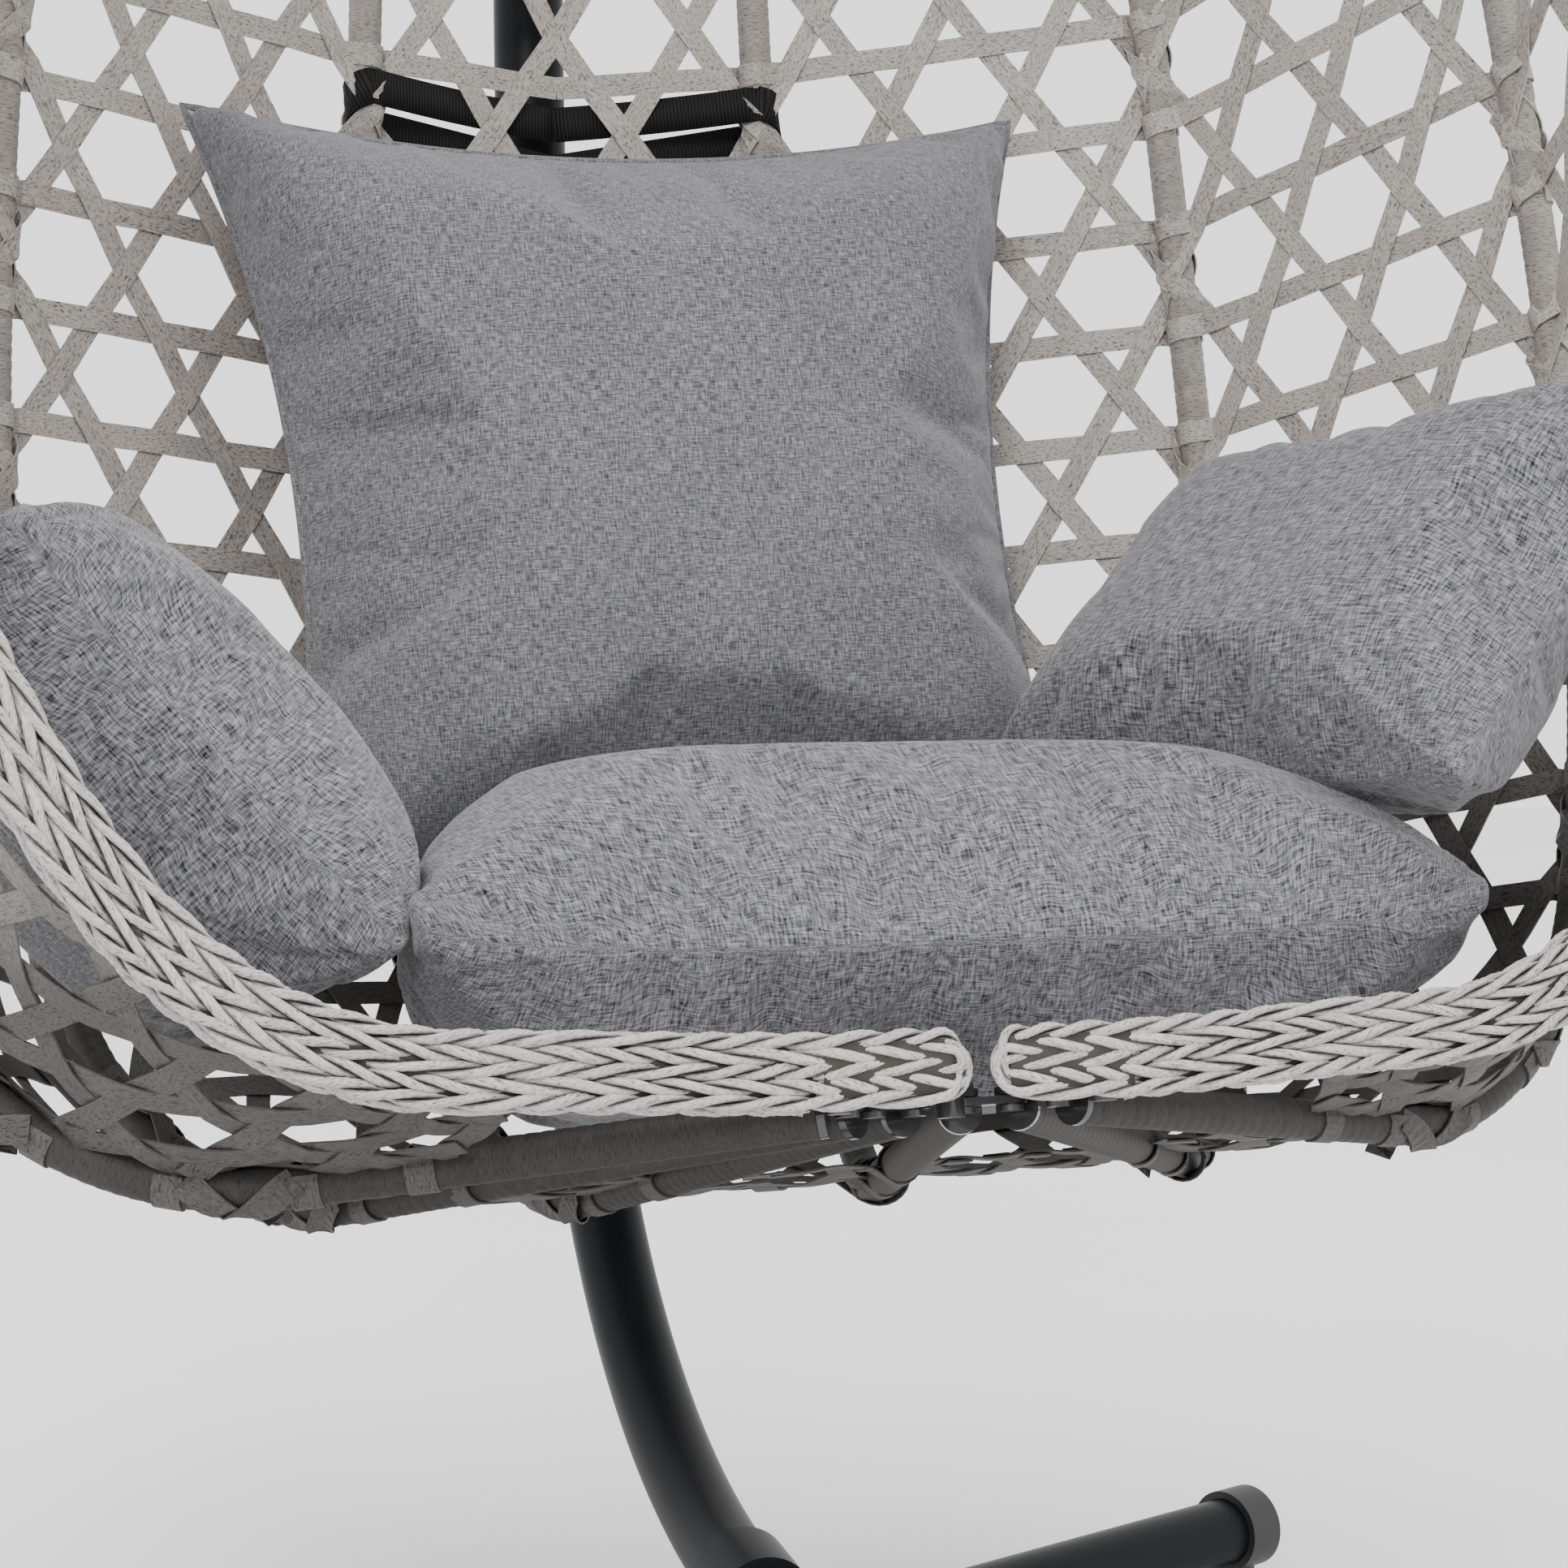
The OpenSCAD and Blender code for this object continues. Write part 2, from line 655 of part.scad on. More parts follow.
for (side = [-1, 1]) {
    name = side < 0 ? "left" : "right";
    for (k = [1:3]) {
        color("#a39c8e") rib(k, side);
        lug_pair(k, side);
        pins_of_rib(k, side);
    }
    color("#a39c8e") rib(4, side);
    lug_pair(4, side);
    braid(side);
    panel(0, side);
    panel(1, side);
    panel(2, side);
    panel(3, side);
}
leg(0);  // leg_rear_left
leg(1);  // leg_rear_right
leg(2);  // leg_front_left
leg(3);  // leg_front_right
leg_caps();
base_hub();
hub_bolts();
pole_lower();
pole_upper();
pole_sleeve();
sleeve_bolts();
pole_top_cap();
pole_eye();
carabiner();
swivel_eye();
swivel_housing();
spring();
spring_plug_lower();
bracket_lower();
bracket_upper();
pins_bracket();
seat_cushion();
back_pillow();
bolster_left();
bolster_right();
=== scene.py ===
"""Hanging egg chair with a folding wicker basket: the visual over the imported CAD."""

import json
import math

import bpy
import numpy as np
from mathutils import Matrix, Vector


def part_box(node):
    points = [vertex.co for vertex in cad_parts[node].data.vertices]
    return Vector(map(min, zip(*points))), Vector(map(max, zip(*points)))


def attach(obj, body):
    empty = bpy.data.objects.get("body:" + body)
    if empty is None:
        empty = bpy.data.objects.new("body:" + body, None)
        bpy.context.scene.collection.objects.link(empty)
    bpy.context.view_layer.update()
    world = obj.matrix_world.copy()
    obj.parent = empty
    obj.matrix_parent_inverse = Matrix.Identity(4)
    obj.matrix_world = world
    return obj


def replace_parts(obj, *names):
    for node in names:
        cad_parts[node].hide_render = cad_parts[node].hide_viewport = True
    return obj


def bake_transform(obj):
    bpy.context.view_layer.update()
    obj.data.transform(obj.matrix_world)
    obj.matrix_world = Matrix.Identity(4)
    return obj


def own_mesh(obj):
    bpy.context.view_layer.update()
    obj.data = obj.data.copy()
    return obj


SIDES = {"left": -1.0, "right": 1.0}

# Driving sizes of the basket, in metres, the same as the CAD's
REACH = {0: 0.593, 1: 0.585, 2: 0.578, 3: 0.526, 4: 0.447}
BASKET_HEIGHT = 1.230
BRACKET_BACK = 0.047
TUBE_START = 0.014
RIB_HEADINGS = [-3, 70, 90, 101, 178]
RIM_HEADINGS = [3, 55, 90, 110, 175]
RIB_BEND, RIM_BEND = 0.250, 0.265
RIB_WIDEST, RIM_WIDEST = 0.350, 0.450
RIB_LEVEL, RIM_LEVEL = -0.010, 0.008
RIB_R = 0.011

# Driving sizes of the pole
POLE_R = 0.024
POLE_HEADINGS = [8, 72, 90]
POLE_START = (0.360, 0.0768)
POLE_STUB = 0.0345
POLE_UPRIGHT = (0.827, 1.114)
POLE_BEND = 0.430
SLEEVE_HEADING = 79

# Weave: courses round the basket with two diagonals over and under them
STRIP_W = 0.0150
STRIP_T = 0.0011
COURSE = 0.070
WEAVE_LIFT = 0.0011
FIRST_COURSE = 0.235
LAST_COURSE = 0.190
STEEPEST_WRAP = 1.2
LAYER_GAP = 0.0002
END_ROOM = 0.017
EDGE_ROOM = 0.004
SHORTEST_DIAGONAL = 0.06
STRIP_POINTS = 30

# Braid: rows of two-ply cord round the rim
BRAID_H = 0.038
BRAID_T = 0.030
BRAID_ROWS = 5
PLY_R = 0.0025
PLY_TURN = 0.052
BRAID_GAP = 0.004
PLY_LAP = 0.88

# Strap round the two back ribs
STRAP_HEIGHT = 0.710
STRAP_W = 0.024
STRAP_T = 0.0016
STRAP_FALL = 0.018
STRAP_SLACK = 0.004

# Cushion shells
SHELL_CELLS = 44
SHELL_EDGE = 0.004
UNDERSIDE = 0.8
CREASE_HEIGHT = 0.0038

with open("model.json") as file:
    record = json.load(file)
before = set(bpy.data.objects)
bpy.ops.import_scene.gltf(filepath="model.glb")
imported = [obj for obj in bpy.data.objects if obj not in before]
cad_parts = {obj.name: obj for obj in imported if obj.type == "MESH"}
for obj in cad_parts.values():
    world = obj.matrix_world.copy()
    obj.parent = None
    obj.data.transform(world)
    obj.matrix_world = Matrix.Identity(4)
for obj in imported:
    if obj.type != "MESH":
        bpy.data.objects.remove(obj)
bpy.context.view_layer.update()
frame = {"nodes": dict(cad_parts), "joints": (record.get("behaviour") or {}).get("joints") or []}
joints = {j["name"]: j for j in frame["joints"]}


# ---------------------------------------------------------------- geometry


def unit(rows):
    """Rows of vectors, each made one long."""
    return rows / np.maximum(np.linalg.norm(rows, axis=-1, keepdims=True), 1e-12)


def along_line(points):
    """Distance along a line of points."""
    steps = np.linalg.norm(np.diff(points, axis=0), axis=1)
    return np.concatenate([[0.0], np.cumsum(steps)])


def tangents(points):
    """Directions along a line of points."""
    return unit(np.gradient(points, axis=0))


def round_section(radius, sides):
    """A circle's outline."""
    a = np.linspace(0, 2 * math.pi, sides, endpoint=False)
    return np.stack([radius * np.cos(a), radius * np.sin(a)], axis=1)


def flat_section(width, thickness):
    """A strip's outline, its width first."""
    w, t = width / 2, thickness / 2
    return np.array([[-w, -t], [w, -t], [w, t], [-w, t]])


class Sweeps:
    """Swept shapes gathered in one mesh. Each face corner keeps its place along and
    round its own sweep, and the sweep's number, for the materials."""

    def __init__(self):
        self.points, self.quads, self.ends, self.marks, self.end_marks = [], [], [], [], []
        self.count = 0
        self.sweeps = 0

    def add(self, line, normals, section):
        """section is one outline, or one outline for every point of the line."""
        t = tangents(line)
        side = unit(np.cross(t, normals))
        normal = np.cross(side, t)
        section = np.broadcast_to(section, (len(line), *np.shape(section)[-2:]))
        rows, sides = len(line), section.shape[1]
        ring = (
            line[:, None, :]
            + section[:, :, :1] * side[:, None, :]
            + section[:, :, 1:] * normal[:, None, :]
        )
        self.points.append(ring.reshape(-1, 3))
        i, j = np.meshgrid(np.arange(rows - 1), np.arange(sides), indexing="ij")
        p, q = i * sides + j, i * sides + (j + 1) % sides
        quads = np.stack([p, q, q + sides, p + sides], axis=-1).reshape(-1, 4)
        self.quads.append(quads + self.count)
        s = along_line(line)
        number = np.full(i.shape, float(self.sweeps))
        marks = [
            np.stack([s[i + di], (j + dj) / sides, number], axis=-1)
            for di, dj in ((0, 0), (0, 1), (1, 1), (1, 0))
        ]
        self.marks.append(np.stack(marks, axis=2).reshape(-1, 3))
        for base, order in ((0, -1), ((rows - 1) * sides, 1)):
            self.ends.append((np.arange(sides)[::order] + base + self.count).tolist())
            self.end_marks.append(np.tile([0.0, 0.5, float(self.sweeps)], (sides, 1)))
        self.count += rows * sides
        self.sweeps += 1
        return self

    def build(self, name, smooth=True):
        """The gathered shapes as one new object."""
        mesh = bpy.data.meshes.new(name)
        faces = np.concatenate(self.quads).tolist() + self.ends
        mesh.from_pydata(np.concatenate(self.points).tolist(), [], faces)
        mark = mesh.attributes.new("strand", "FLOAT_VECTOR", "CORNER")
        mark.data.foreach_set("vector", np.concatenate(self.marks + self.end_marks).ravel())
        mesh.polygons.foreach_set("use_smooth", [smooth] * len(mesh.polygons))
        mesh.update()
        piece = bpy.data.objects.new(name, mesh)
        bpy.context.scene.collection.objects.link(piece)
        return piece


def join(name, parts):
    """Several mesh objects as one, made in the first of them."""
    with bpy.context.temp_override(
        active_object=parts[0], selected_objects=parts, selected_editable_objects=parts
    ):
        bpy.ops.object.join()
    parts[0].name = name
    parts[0].data.name = name
    return parts[0]


def dress(piece, mat):
    piece.data.materials.clear()
    piece.data.materials.append(mat)
    return piece


# ---------------------------------------------------------------- paths


def two_arcs(step, h0, h1, h2):
    """Radii of two arcs with headings h0, h1 and h2 that together cover a step."""
    a = (math.sin(h1) - math.sin(h0), math.cos(h0) - math.cos(h1))
    b = (math.sin(h2) - math.sin(h1), math.cos(h1) - math.cos(h2))
    det = a[0] * b[1] - a[1] * b[0]
    return (step[0] * b[1] - step[1] * b[0]) / det, (a[0] * step[1] - a[1] * step[0]) / det


def flat_path(segments, start, heading, per_segment):
    """Stations (out, up, heading) along lines (None, length) and arcs (radius, turn)."""
    rows, p, h = [], np.array(start, float), heading
    for radius, amount in segments:
        f = np.arange(per_segment + 1) / per_segment
        if radius is None:
            x = p[0] + amount * f * math.cos(h)
            y = p[1] + amount * f * math.sin(h)
            turn = h + 0 * f
        else:
            turn = h + amount * f
            x = p[0] + radius * (np.sin(turn) - math.sin(h))
            y = p[1] + radius * (math.cos(h) - np.cos(turn))
        rows.append(np.stack([x, y, turn], axis=1)[:-1])
        p, h = np.array([x[-1], y[-1]]), float(turn[-1])
    return np.concatenate(rows + [np.array([[p[0], p[1], h]])])


def rib_stations(k, per_segment):
    """Stations of rib k in its own plane; 4 is the rim, 0 the middle of the back."""
    rim = k == 4
    h = [math.radians(x) for x in (RIM_HEADINGS if rim else RIB_HEADINGS)]
    bend, widest = (RIM_BEND, RIM_WIDEST) if rim else (RIB_BEND, RIB_WIDEST)
    level = RIM_LEVEL if rim else RIB_LEVEL
    run = (REACH[k] - bend - TUBE_START) / math.cos(h[0])
    low = two_arcs((bend, widest - level - run * math.sin(h[0])), h[0], h[1], h[2])
    high = two_arcs((TUBE_START - REACH[k], BASKET_HEIGHT - widest), h[2], h[3], h[4])
    segments = [
        (None, run),
        (low[0], h[1] - h[0]),
        (low[1], h[2] - h[1]),
        (high[0], h[3] - h[2]),
        (high[1], h[4] - h[3]),
    ]
    return flat_path(segments, (TUBE_START, level), h[0], per_segment)


UP = np.array(joints["fold_1_right"]["axis"], float)
RIGHT = np.array([1.0, 0.0, 0.0])
BACK = np.cross(UP, RIGHT)
FOLDS = {1: "fold_1", 2: "fold_2", 3: "fold_3", 4: "fold_rim"}


def fan_point(x, y, z):
    """A point of the fan frame, in the row frame: Z along the fold axis, Y straight back."""
    first = np.array(joints["fold_1_right"]["pos_m"], float)
    origin = first - RIGHT * first[0] - BACK * BRACKET_BACK
    return origin + RIGHT * x + BACK * y + UP * z


class Rib:
    """Rib k of one side, in the row frame. Its parameter grows by one
    over each of the path's five pieces."""

    per_segment = 60

    def __init__(self, k, side):
        sign = SIDES[side]
        turns = [abs(j["range_deg"][0]) + abs(j["range_deg"][1]) for j in
                 (joints[f"{FOLDS[i]}_{side}"] for i in range(1, k + 1))]
        angle = math.radians(sum(turns))
        pivot = np.array(joints[f"{FOLDS[max(k, 1)]}_{side}"]["pos_m"], float)
        if k == 0:
            pivot[0] = 0.0
        self.outward = RIGHT * sign * math.sin(angle) + BACK * math.cos(angle)
        self.across = RIGHT * sign * math.cos(angle) - BACK * math.sin(angle)
        self.pivot = pivot
        self.stations = rib_stations(k, self.per_segment)

    def place(self, stations, out=0.0, shift=0.0):
        """Points at stations, moved out from the path and sideways."""
        w = stations[:, 0] + out * np.sin(stations[:, 2])
        z = stations[:, 1] - out * np.cos(stations[:, 2])
        return (
            self.pivot
            + w[:, None] * self.outward
            + z[:, None] * UP
            + np.asarray(shift).reshape(-1, 1) * self.across
        )

    def at(self, q):
        """Stations at the parameters q."""
        x = np.asarray(q, float) * self.per_segment
        i = np.arange(len(self.stations))
        return np.stack([np.interp(x, i, self.stations[:, c]) for c in range(3)], axis=1)

    def line(self):
        return self.place(self.stations)


RIBS = {(k, side): Rib(k, side) for k in range(5) for side in SIDES}
MASTER = along_line(RIBS[2, "right"].line())
MASTER_LENGTH = MASTER[-1]


def master(s):
    """The ribs' parameter at the distance s along rib 2, which sets the weave's courses."""
    return np.interp(s, MASTER, np.arange(len(MASTER)) / Rib.per_segment)


# ---------------------------------------------------------------- materials


class Shader:
    """A node material under construction."""

    def __init__(self, name):
        self.mat = bpy.data.materials.new(name)
        self.mat.use_nodes = True
        self.tree = self.mat.node_tree
        self.surface = self.tree.nodes["Principled BSDF"]

    def node(self, kind, **values):
        made = self.tree.nodes.new(kind)
        for key, value in values.items():
            if hasattr(made, key):
                setattr(made, key, value)
            else:
                made.inputs[key.replace("_", " ")].default_value = value
        return made

    def link(self, source, target):
        self.tree.links.new(source, target)

    def scaled(self, source, scale):
        made = self.node("ShaderNodeMapping")
        made.inputs["Scale"].default_value = scale
        self.link(source, made.inputs["Vector"])
        return made.outputs["Vector"]

    def noise(self, vector, scale, detail=3.0, roughness=0.5):
        made = self.node("ShaderNodeTexNoise", Scale=scale, Detail=detail, Roughness=roughness)
        self.link(vector, made.inputs["Vector"])
        return made.outputs["Fac"]

    def ramp(self, fac, stops):
        made = self.node("ShaderNodeValToRGB")
        elements = made.color_ramp.elements
        while len(elements) < len(stops):
            elements.new(0.5)
        for element, (place, color) in zip(elements, stops):
            element.position = place
            element.color = (*color, 1.0)
        self.link(fac, made.inputs["Fac"])
        return made.outputs["Color"]

    def mix(self, fac, a, b, blend="MIX"):
        made = self.node("ShaderNodeMix", data_type="RGBA", blend_type=blend)
        if isinstance(fac, float):
            made.inputs["Factor"].default_value = fac
        else:
            self.link(fac, made.inputs["Factor"])
        self.link(a, made.inputs["A"])
        self.link(b, made.inputs["B"])
        return made.outputs["Result"]

    def math(self, operation, a, b):
        made = self.node("ShaderNodeMath", operation=operation)
        for slot, value in zip(made.inputs, (a, b)):
            if isinstance(value, (int, float)):
                slot.default_value = value
            else:
                self.link(value, slot)
        return made.outputs["Value"]

    def bump(self, height, strength, distance):
        made = self.node("ShaderNodeBump", Strength=strength, Distance=distance)
        self.link(height, made.inputs["Height"])
        self.link(made.outputs["Normal"], self.surface.inputs["Normal"])

    def finish(self, color=None, **values):
        if color is not None:
            self.link(color, self.surface.inputs["Base Color"])
        for key, value in values.items():
            self.surface.inputs[key.replace("_", " ")].default_value = value
        return self.mat


def gray(value, tint=(1.0, 1.0, 1.0)):
    """A grey colour, with its tint."""
    return tuple(value * t for t in tint)


def hard_material(name, color, roughness, metallic=0.0, coat=0.0, depth=0.02, shine=0.5):
    """Paint, plastic or bare metal with a fine grain in its colour and surface."""
    s = Shader(name)
    place = s.node("ShaderNodeTexCoord").outputs["Object"]
    fac = s.noise(place, 2500.0, 2.0)
    tone = s.ramp(fac, [(0.3, tuple(0.9 * c for c in color)), (0.7, tuple(1.1 * c for c in color))])
    s.bump(fac, depth, 0.001)
    return s.finish(tone, Roughness=roughness, Metallic=metallic, Coat_Weight=coat,
                    Specular_IOR_Level=shine)


def strip_material(name, light, dark, fleck_rows=60.0, turn=0.0, painted_under_shade=1.0, painted_groove_shade=1.0):
    """Synthetic rattan: pale strip with short dark flecks along it, a little different
    on every strip. A wrapped one has its flecks across and a tone for each turn.
    The under-seat tone is painted shade that darkens it below the seat; the groove tone is painted
    shade where a cord faces its fellow."""
    s = Shader(name)
    strand = s.node("ShaderNodeAttribute", attribute_name="strand").outputs["Vector"]
    parts = s.node("ShaderNodeSeparateXYZ")
    s.link(strand, parts.inputs["Vector"])
    flecks = (1300.0, 13.0, 7.3) if turn else (330.0, fleck_rows, 7.3)
    fine = s.noise(s.scaled(strand, flecks), 1.0, 4.0, 0.65)
    broad = s.noise(s.scaled(strand, (14.0, 1.0, 3.1)), 1.0, 2.0)
    between = tuple(0.7 * a + 0.3 * b for a, b in zip(light, dark))
    tone = s.ramp(fine, [(0.33, dark), (0.45, between), (0.58, light)])
    if turn:
        whole = s.math("ADD", s.math("DIVIDE", parts.outputs["X"], turn), parts.outputs["Y"])
        number = s.math("FLOOR", whole, 0.0)
    else:
        number = parts.outputs["Z"]
    chance = s.node("ShaderNodeTexWhiteNoise", noise_dimensions="1D")
    s.link(number, chance.inputs["W"])
    shade = s.math("ADD", s.math("MULTIPLY", chance.outputs["Value"], 0.22),
                   s.math("MULTIPLY", broad, 0.45))
    tone = s.mix(1.0, tone, s.ramp(shade, [(0.12, gray(0.72)), (0.58, gray(1.0))]), "MULTIPLY")
    # Painted shade: darker towards the bottom, under the seat, where the light from above falls
    # short.
    if painted_under_shade < 1.0:
        place = s.node("ShaderNodeSeparateXYZ")
        s.link(s.node("ShaderNodeTexCoord").outputs["Object"], place.inputs["Vector"])
        low = s.ramp(place.outputs["Z"], [(0.46, gray(painted_under_shade)), (0.62, gray(1.0))])
        tone = s.mix(1.0, tone, low, "MULTIPLY")
    # Painted shade: darker on the side of each ply that faces its fellow, in the groove between the
    # cords.
    if painted_groove_shade < 1.0:
        outward = s.math("SINE", s.math("MULTIPLY", parts.outputs["Y"], 2 * math.pi), 0.0)
        outward = s.math("ADD", s.math("MULTIPLY", outward, 0.5), 0.5)
        inner = s.ramp(outward, [(0.12, gray(painted_groove_shade)), (0.46, gray(1.0))])
        tone = s.mix(1.0, tone, inner, "MULTIPLY")
    s.bump(fine, 0.25, 0.0006)
    return s.finish(tone, Roughness=0.62, Specular_IOR_Level=0.25)


def fabric_material(name, thread, dark, light):
    """Heathered grey weave: light and dark threads both ways, with a fine relief."""
    s = Shader(name)
    place = s.node("ShaderNodeAttribute", attribute_name="cloth").outputs["Vector"]
    weft = s.noise(s.scaled(place, (thread / 7, thread, 1.0)), 1.0, 3.0, 0.65)
    warp = s.noise(s.scaled(place, (thread, thread / 7, 1.0)), 1.0, 3.0, 0.65)
    threads = s.math("ADD", s.math("MULTIPLY", weft, 0.5), s.math("MULTIPLY", warp, 0.5))
    broad = s.noise(s.scaled(place, (1.0, 1.0, 0.2)), 16.0, 3.0)
    tint = (0.985, 0.98, 1.06)
    tone = s.ramp(threads, [(0.38, gray(dark, tint)), (0.50, gray((dark + light) / 2.3, tint)),
                            (0.62, gray(light, tint))])
    shade = s.ramp(broad, [(0.3, gray(0.88)), (0.7, gray(1.0))])
    s.bump(threads, 0.6, 0.0009)
    s.finish(s.mix(1.0, tone, shade, "MULTIPLY"), Roughness=0.95, Specular_IOR_Level=0.15)
    s.surface.inputs["Sheen Weight"].default_value = 0.2
    s.surface.inputs["Sheen Roughness"].default_value = 0.5
    return s.mat


def strap_material():
    """Black elastic strap, ribbed across."""
    s = Shader("strap")
    strand = s.node("ShaderNodeAttribute", attribute_name="strand").outputs["Vector"]
    ribs = s.node("ShaderNodeTexWave", wave_type="BANDS", bands_direction="X", Scale=130.0)
    s.link(strand, ribs.inputs["Vector"])
    tone = s.ramp(ribs.outputs["Fac"], [(0.2, gray(0.003)), (0.9, gray(0.012))])
    s.bump(ribs.outputs["Fac"], 0.6, 0.0008)
    return s.finish(tone, Roughness=0.7, Specular_IOR_Level=0.12)


def floor_material():
    s = Shader("floor")
    place = s.node("ShaderNodeTexCoord").outputs["Object"]
    tone = s.ramp(s.noise(place, 3.0, 2.0), [(0.3, gray(0.86)), (0.7, gray(0.88))])
    return s.finish(tone, Roughness=0.9)


WRAP_PITCH = 0.0085
PAINT = hard_material("stand_paint", (0.006, 0.0065, 0.008), 0.42, shine=0.10)
PLASTIC = hard_material("black_plastic", (0.010, 0.010, 0.011), 0.55, depth=0.05)
DARK_STEEL = hard_material("dark_steel", (0.012, 0.012, 0.013), 0.25, coat=0.4)
FASTENER = hard_material("fastener_steel", (0.10, 0.10, 0.105), 0.35, metallic=0.9)
ZINC = hard_material("zinc_steel", (0.50, 0.51, 0.53), 0.30, metallic=1.0)
SPRING = hard_material("spring_steel", (0.020, 0.020, 0.022), 0.35, metallic=0.3)
# Wicker and wrap carry painted shade under the seat; the braid carries painted shade in its grooves.
STRIP = strip_material("wicker", (0.38, 0.345, 0.315), (0.035, 0.030, 0.026), painted_under_shade=0.20)
WRAP = strip_material("wicker_wrap", (0.27, 0.245, 0.22), (0.03, 0.026, 0.022), turn=WRAP_PITCH,
                      painted_under_shade=0.12)
BRAID = strip_material("wicker_braid", (0.50, 0.47, 0.44), (0.05, 0.044, 0.040), 24.0,
                       painted_groove_shade=0.10)
# Painted shadow: the braid's filling is dark so the gaps between the cords read as shade.
BRAID_SHADOW_FILL = hard_material("wicker_shadow", (0.045, 0.040, 0.035), 0.8, shine=0.1)
FABRIC = fabric_material("fabric", 620.0, 0.004, 0.235)
FINE_FABRIC = fabric_material("fine_fabric", 950.0, 0.03, 0.23)
STRAP = strap_material()

CAD_FINISH = {
    PAINT: ["base_hub", "leg_rear_left", "leg_rear_right", "leg_front_left", "leg_front_right",
            "pole_sleeve"],
    PLASTIC: ["leg_caps", "pole_top_cap"],
    FASTENER: ["hub_bolts", "sleeve_bolts", "pins_bracket"],
    ZINC: ["pole_eye", "carabiner", "swivel_eye"],
    DARK_STEEL: ["swivel_housing", "spring_plug_lower", "bracket_lower", "bracket_upper"],
}


def dress_cad_nodes():
    """Materials for every CAD node that stays in view."""
    for mat, names in CAD_FINISH.items():
        for name in names:
            dress(frame["nodes"][name], mat)
    for side in SIDES:
        for k in (1, 2, 3):
            dress(frame["nodes"][f"lugs_rib_{k}_{side}"], DARK_STEEL)
            dress(frame["nodes"][f"pins_rib_{k}_{side}"], FASTENER)
        dress(frame["nodes"][f"lugs_rim_{side}"], DARK_STEEL)


# ---------------------------------------------------------------- stand and hanger


def pole_tubes():
    """The pole's two halves as smooth tubes on the CAD's own path."""
    h = [math.radians(x) for x in POLE_HEADINGS]
    sleeve = math.radians(SLEEVE_HEADING)
    step = (POLE_UPRIGHT[0] - POLE_START[0], POLE_UPRIGHT[1] - POLE_START[1])
    arcs = two_arcs(step, h[0], h[1], h[2])
    start = (POLE_START[0] - POLE_STUB * math.cos(h[0]), POLE_START[1] - POLE_STUB * math.sin(h[0]))
    lower = flat_path([(None, POLE_STUB), (arcs[0], h[1] - h[0]), (arcs[1], sleeve - h[1])],
                      start, h[0], 48)
    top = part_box("pole_upper")[1].z - POLE_R
    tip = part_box("pole_upper")[0].y
    middle_back = fan_point(0.0, 0.0, 0.0)[1]
    upright = top - POLE_BEND - POLE_UPRIGHT[1]
    reach = POLE_UPRIGHT[0] + middle_back - POLE_BEND - tip
    upper = flat_path([(arcs[1], math.pi / 2 - sleeve), (None, upright),
                       (POLE_BEND, math.pi / 2), (None, reach)], lower[-1, :2], sleeve, 48)
    for name, stations in (("pole_lower", lower), ("pole_upper", upper)):
        line = np.stack([0 * stations[:, 0], stations[:, 0] + middle_back, stations[:, 1]], axis=1)
        line = line[np.concatenate([[True], np.linalg.norm(np.diff(line, axis=0), axis=1) > 1e-6])]
        normals = np.tile(RIGHT, (len(line), 1))
        tube = Sweeps().add(line, normals, round_section(POLE_R, 48)).build(f"{name}_tube")
        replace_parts(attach(dress(tube, PAINT), "stand"), name)


def spring_coil():
    """The extension spring as one closely wound wire."""
    low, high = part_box("spring")
    wire = 0.0025
    radius = (high.x - low.x) / 2 - wire
    turns = int((high.z - low.z) / (2.08 * wire)) - 1
    a = np.linspace(0, 2 * math.pi * turns, 28 * turns)
    rise = low.z + wire + (high.z - low.z - 2 * wire) * a / a[-1]
    centre = (low + high) / 2
    line = np.stack([centre.x + radius * np.cos(a), centre.y + radius * np.sin(a), rise], axis=1)
    normals = np.stack([np.cos(a), np.sin(a), 0 * a], axis=1)
    coil = dress(Sweeps().add(line, normals, round_section(wire, 10)).build("spring_coil"), SPRING)
    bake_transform(coil)
    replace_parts(coil, "spring")


# ---------------------------------------------------------------- basket


def wrapped_tubes():
    """Ribs and rims: tubes wound closely with a strip that overlaps itself a little."""
    sides = 24
    around = np.arange(sides) / sides
    for (k, side), rib in RIBS.items():
        if k == 0:
            continue
        fine = along_line(rib.line())
        n = int(fine[-1] / (WRAP_PITCH / 5))
        q = np.interp(np.linspace(0, fine[-1], n), fine, np.arange(len(fine)) / rib.per_segment)
        line = rib.place(rib.at(q))
        turn = along_line(line)[:, None] / WRAP_PITCH + around[None, :]
        slope = turn - np.floor(turn)
        radius = RIB_R - 0.0005 + 0.0006 * np.sqrt(slope) * (1 - slope ** 8)
        angle = 2 * math.pi * around
        section = radius[:, :, None] * np.stack([np.cos(angle), np.sin(angle)], axis=1)[None]
        normals = np.tile(rib.across, (len(line), 1))
        name = f"rim_{side}" if k == 4 else f"rib_{k}_{side}"
        tube = Sweeps().add(line, normals, section).build(f"{name}_wrapped")
        body = f"fan_rim_{side}" if k == 4 else f"fan_{k}_{side}"
        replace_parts(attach(dress(tube, WRAP), body), name)


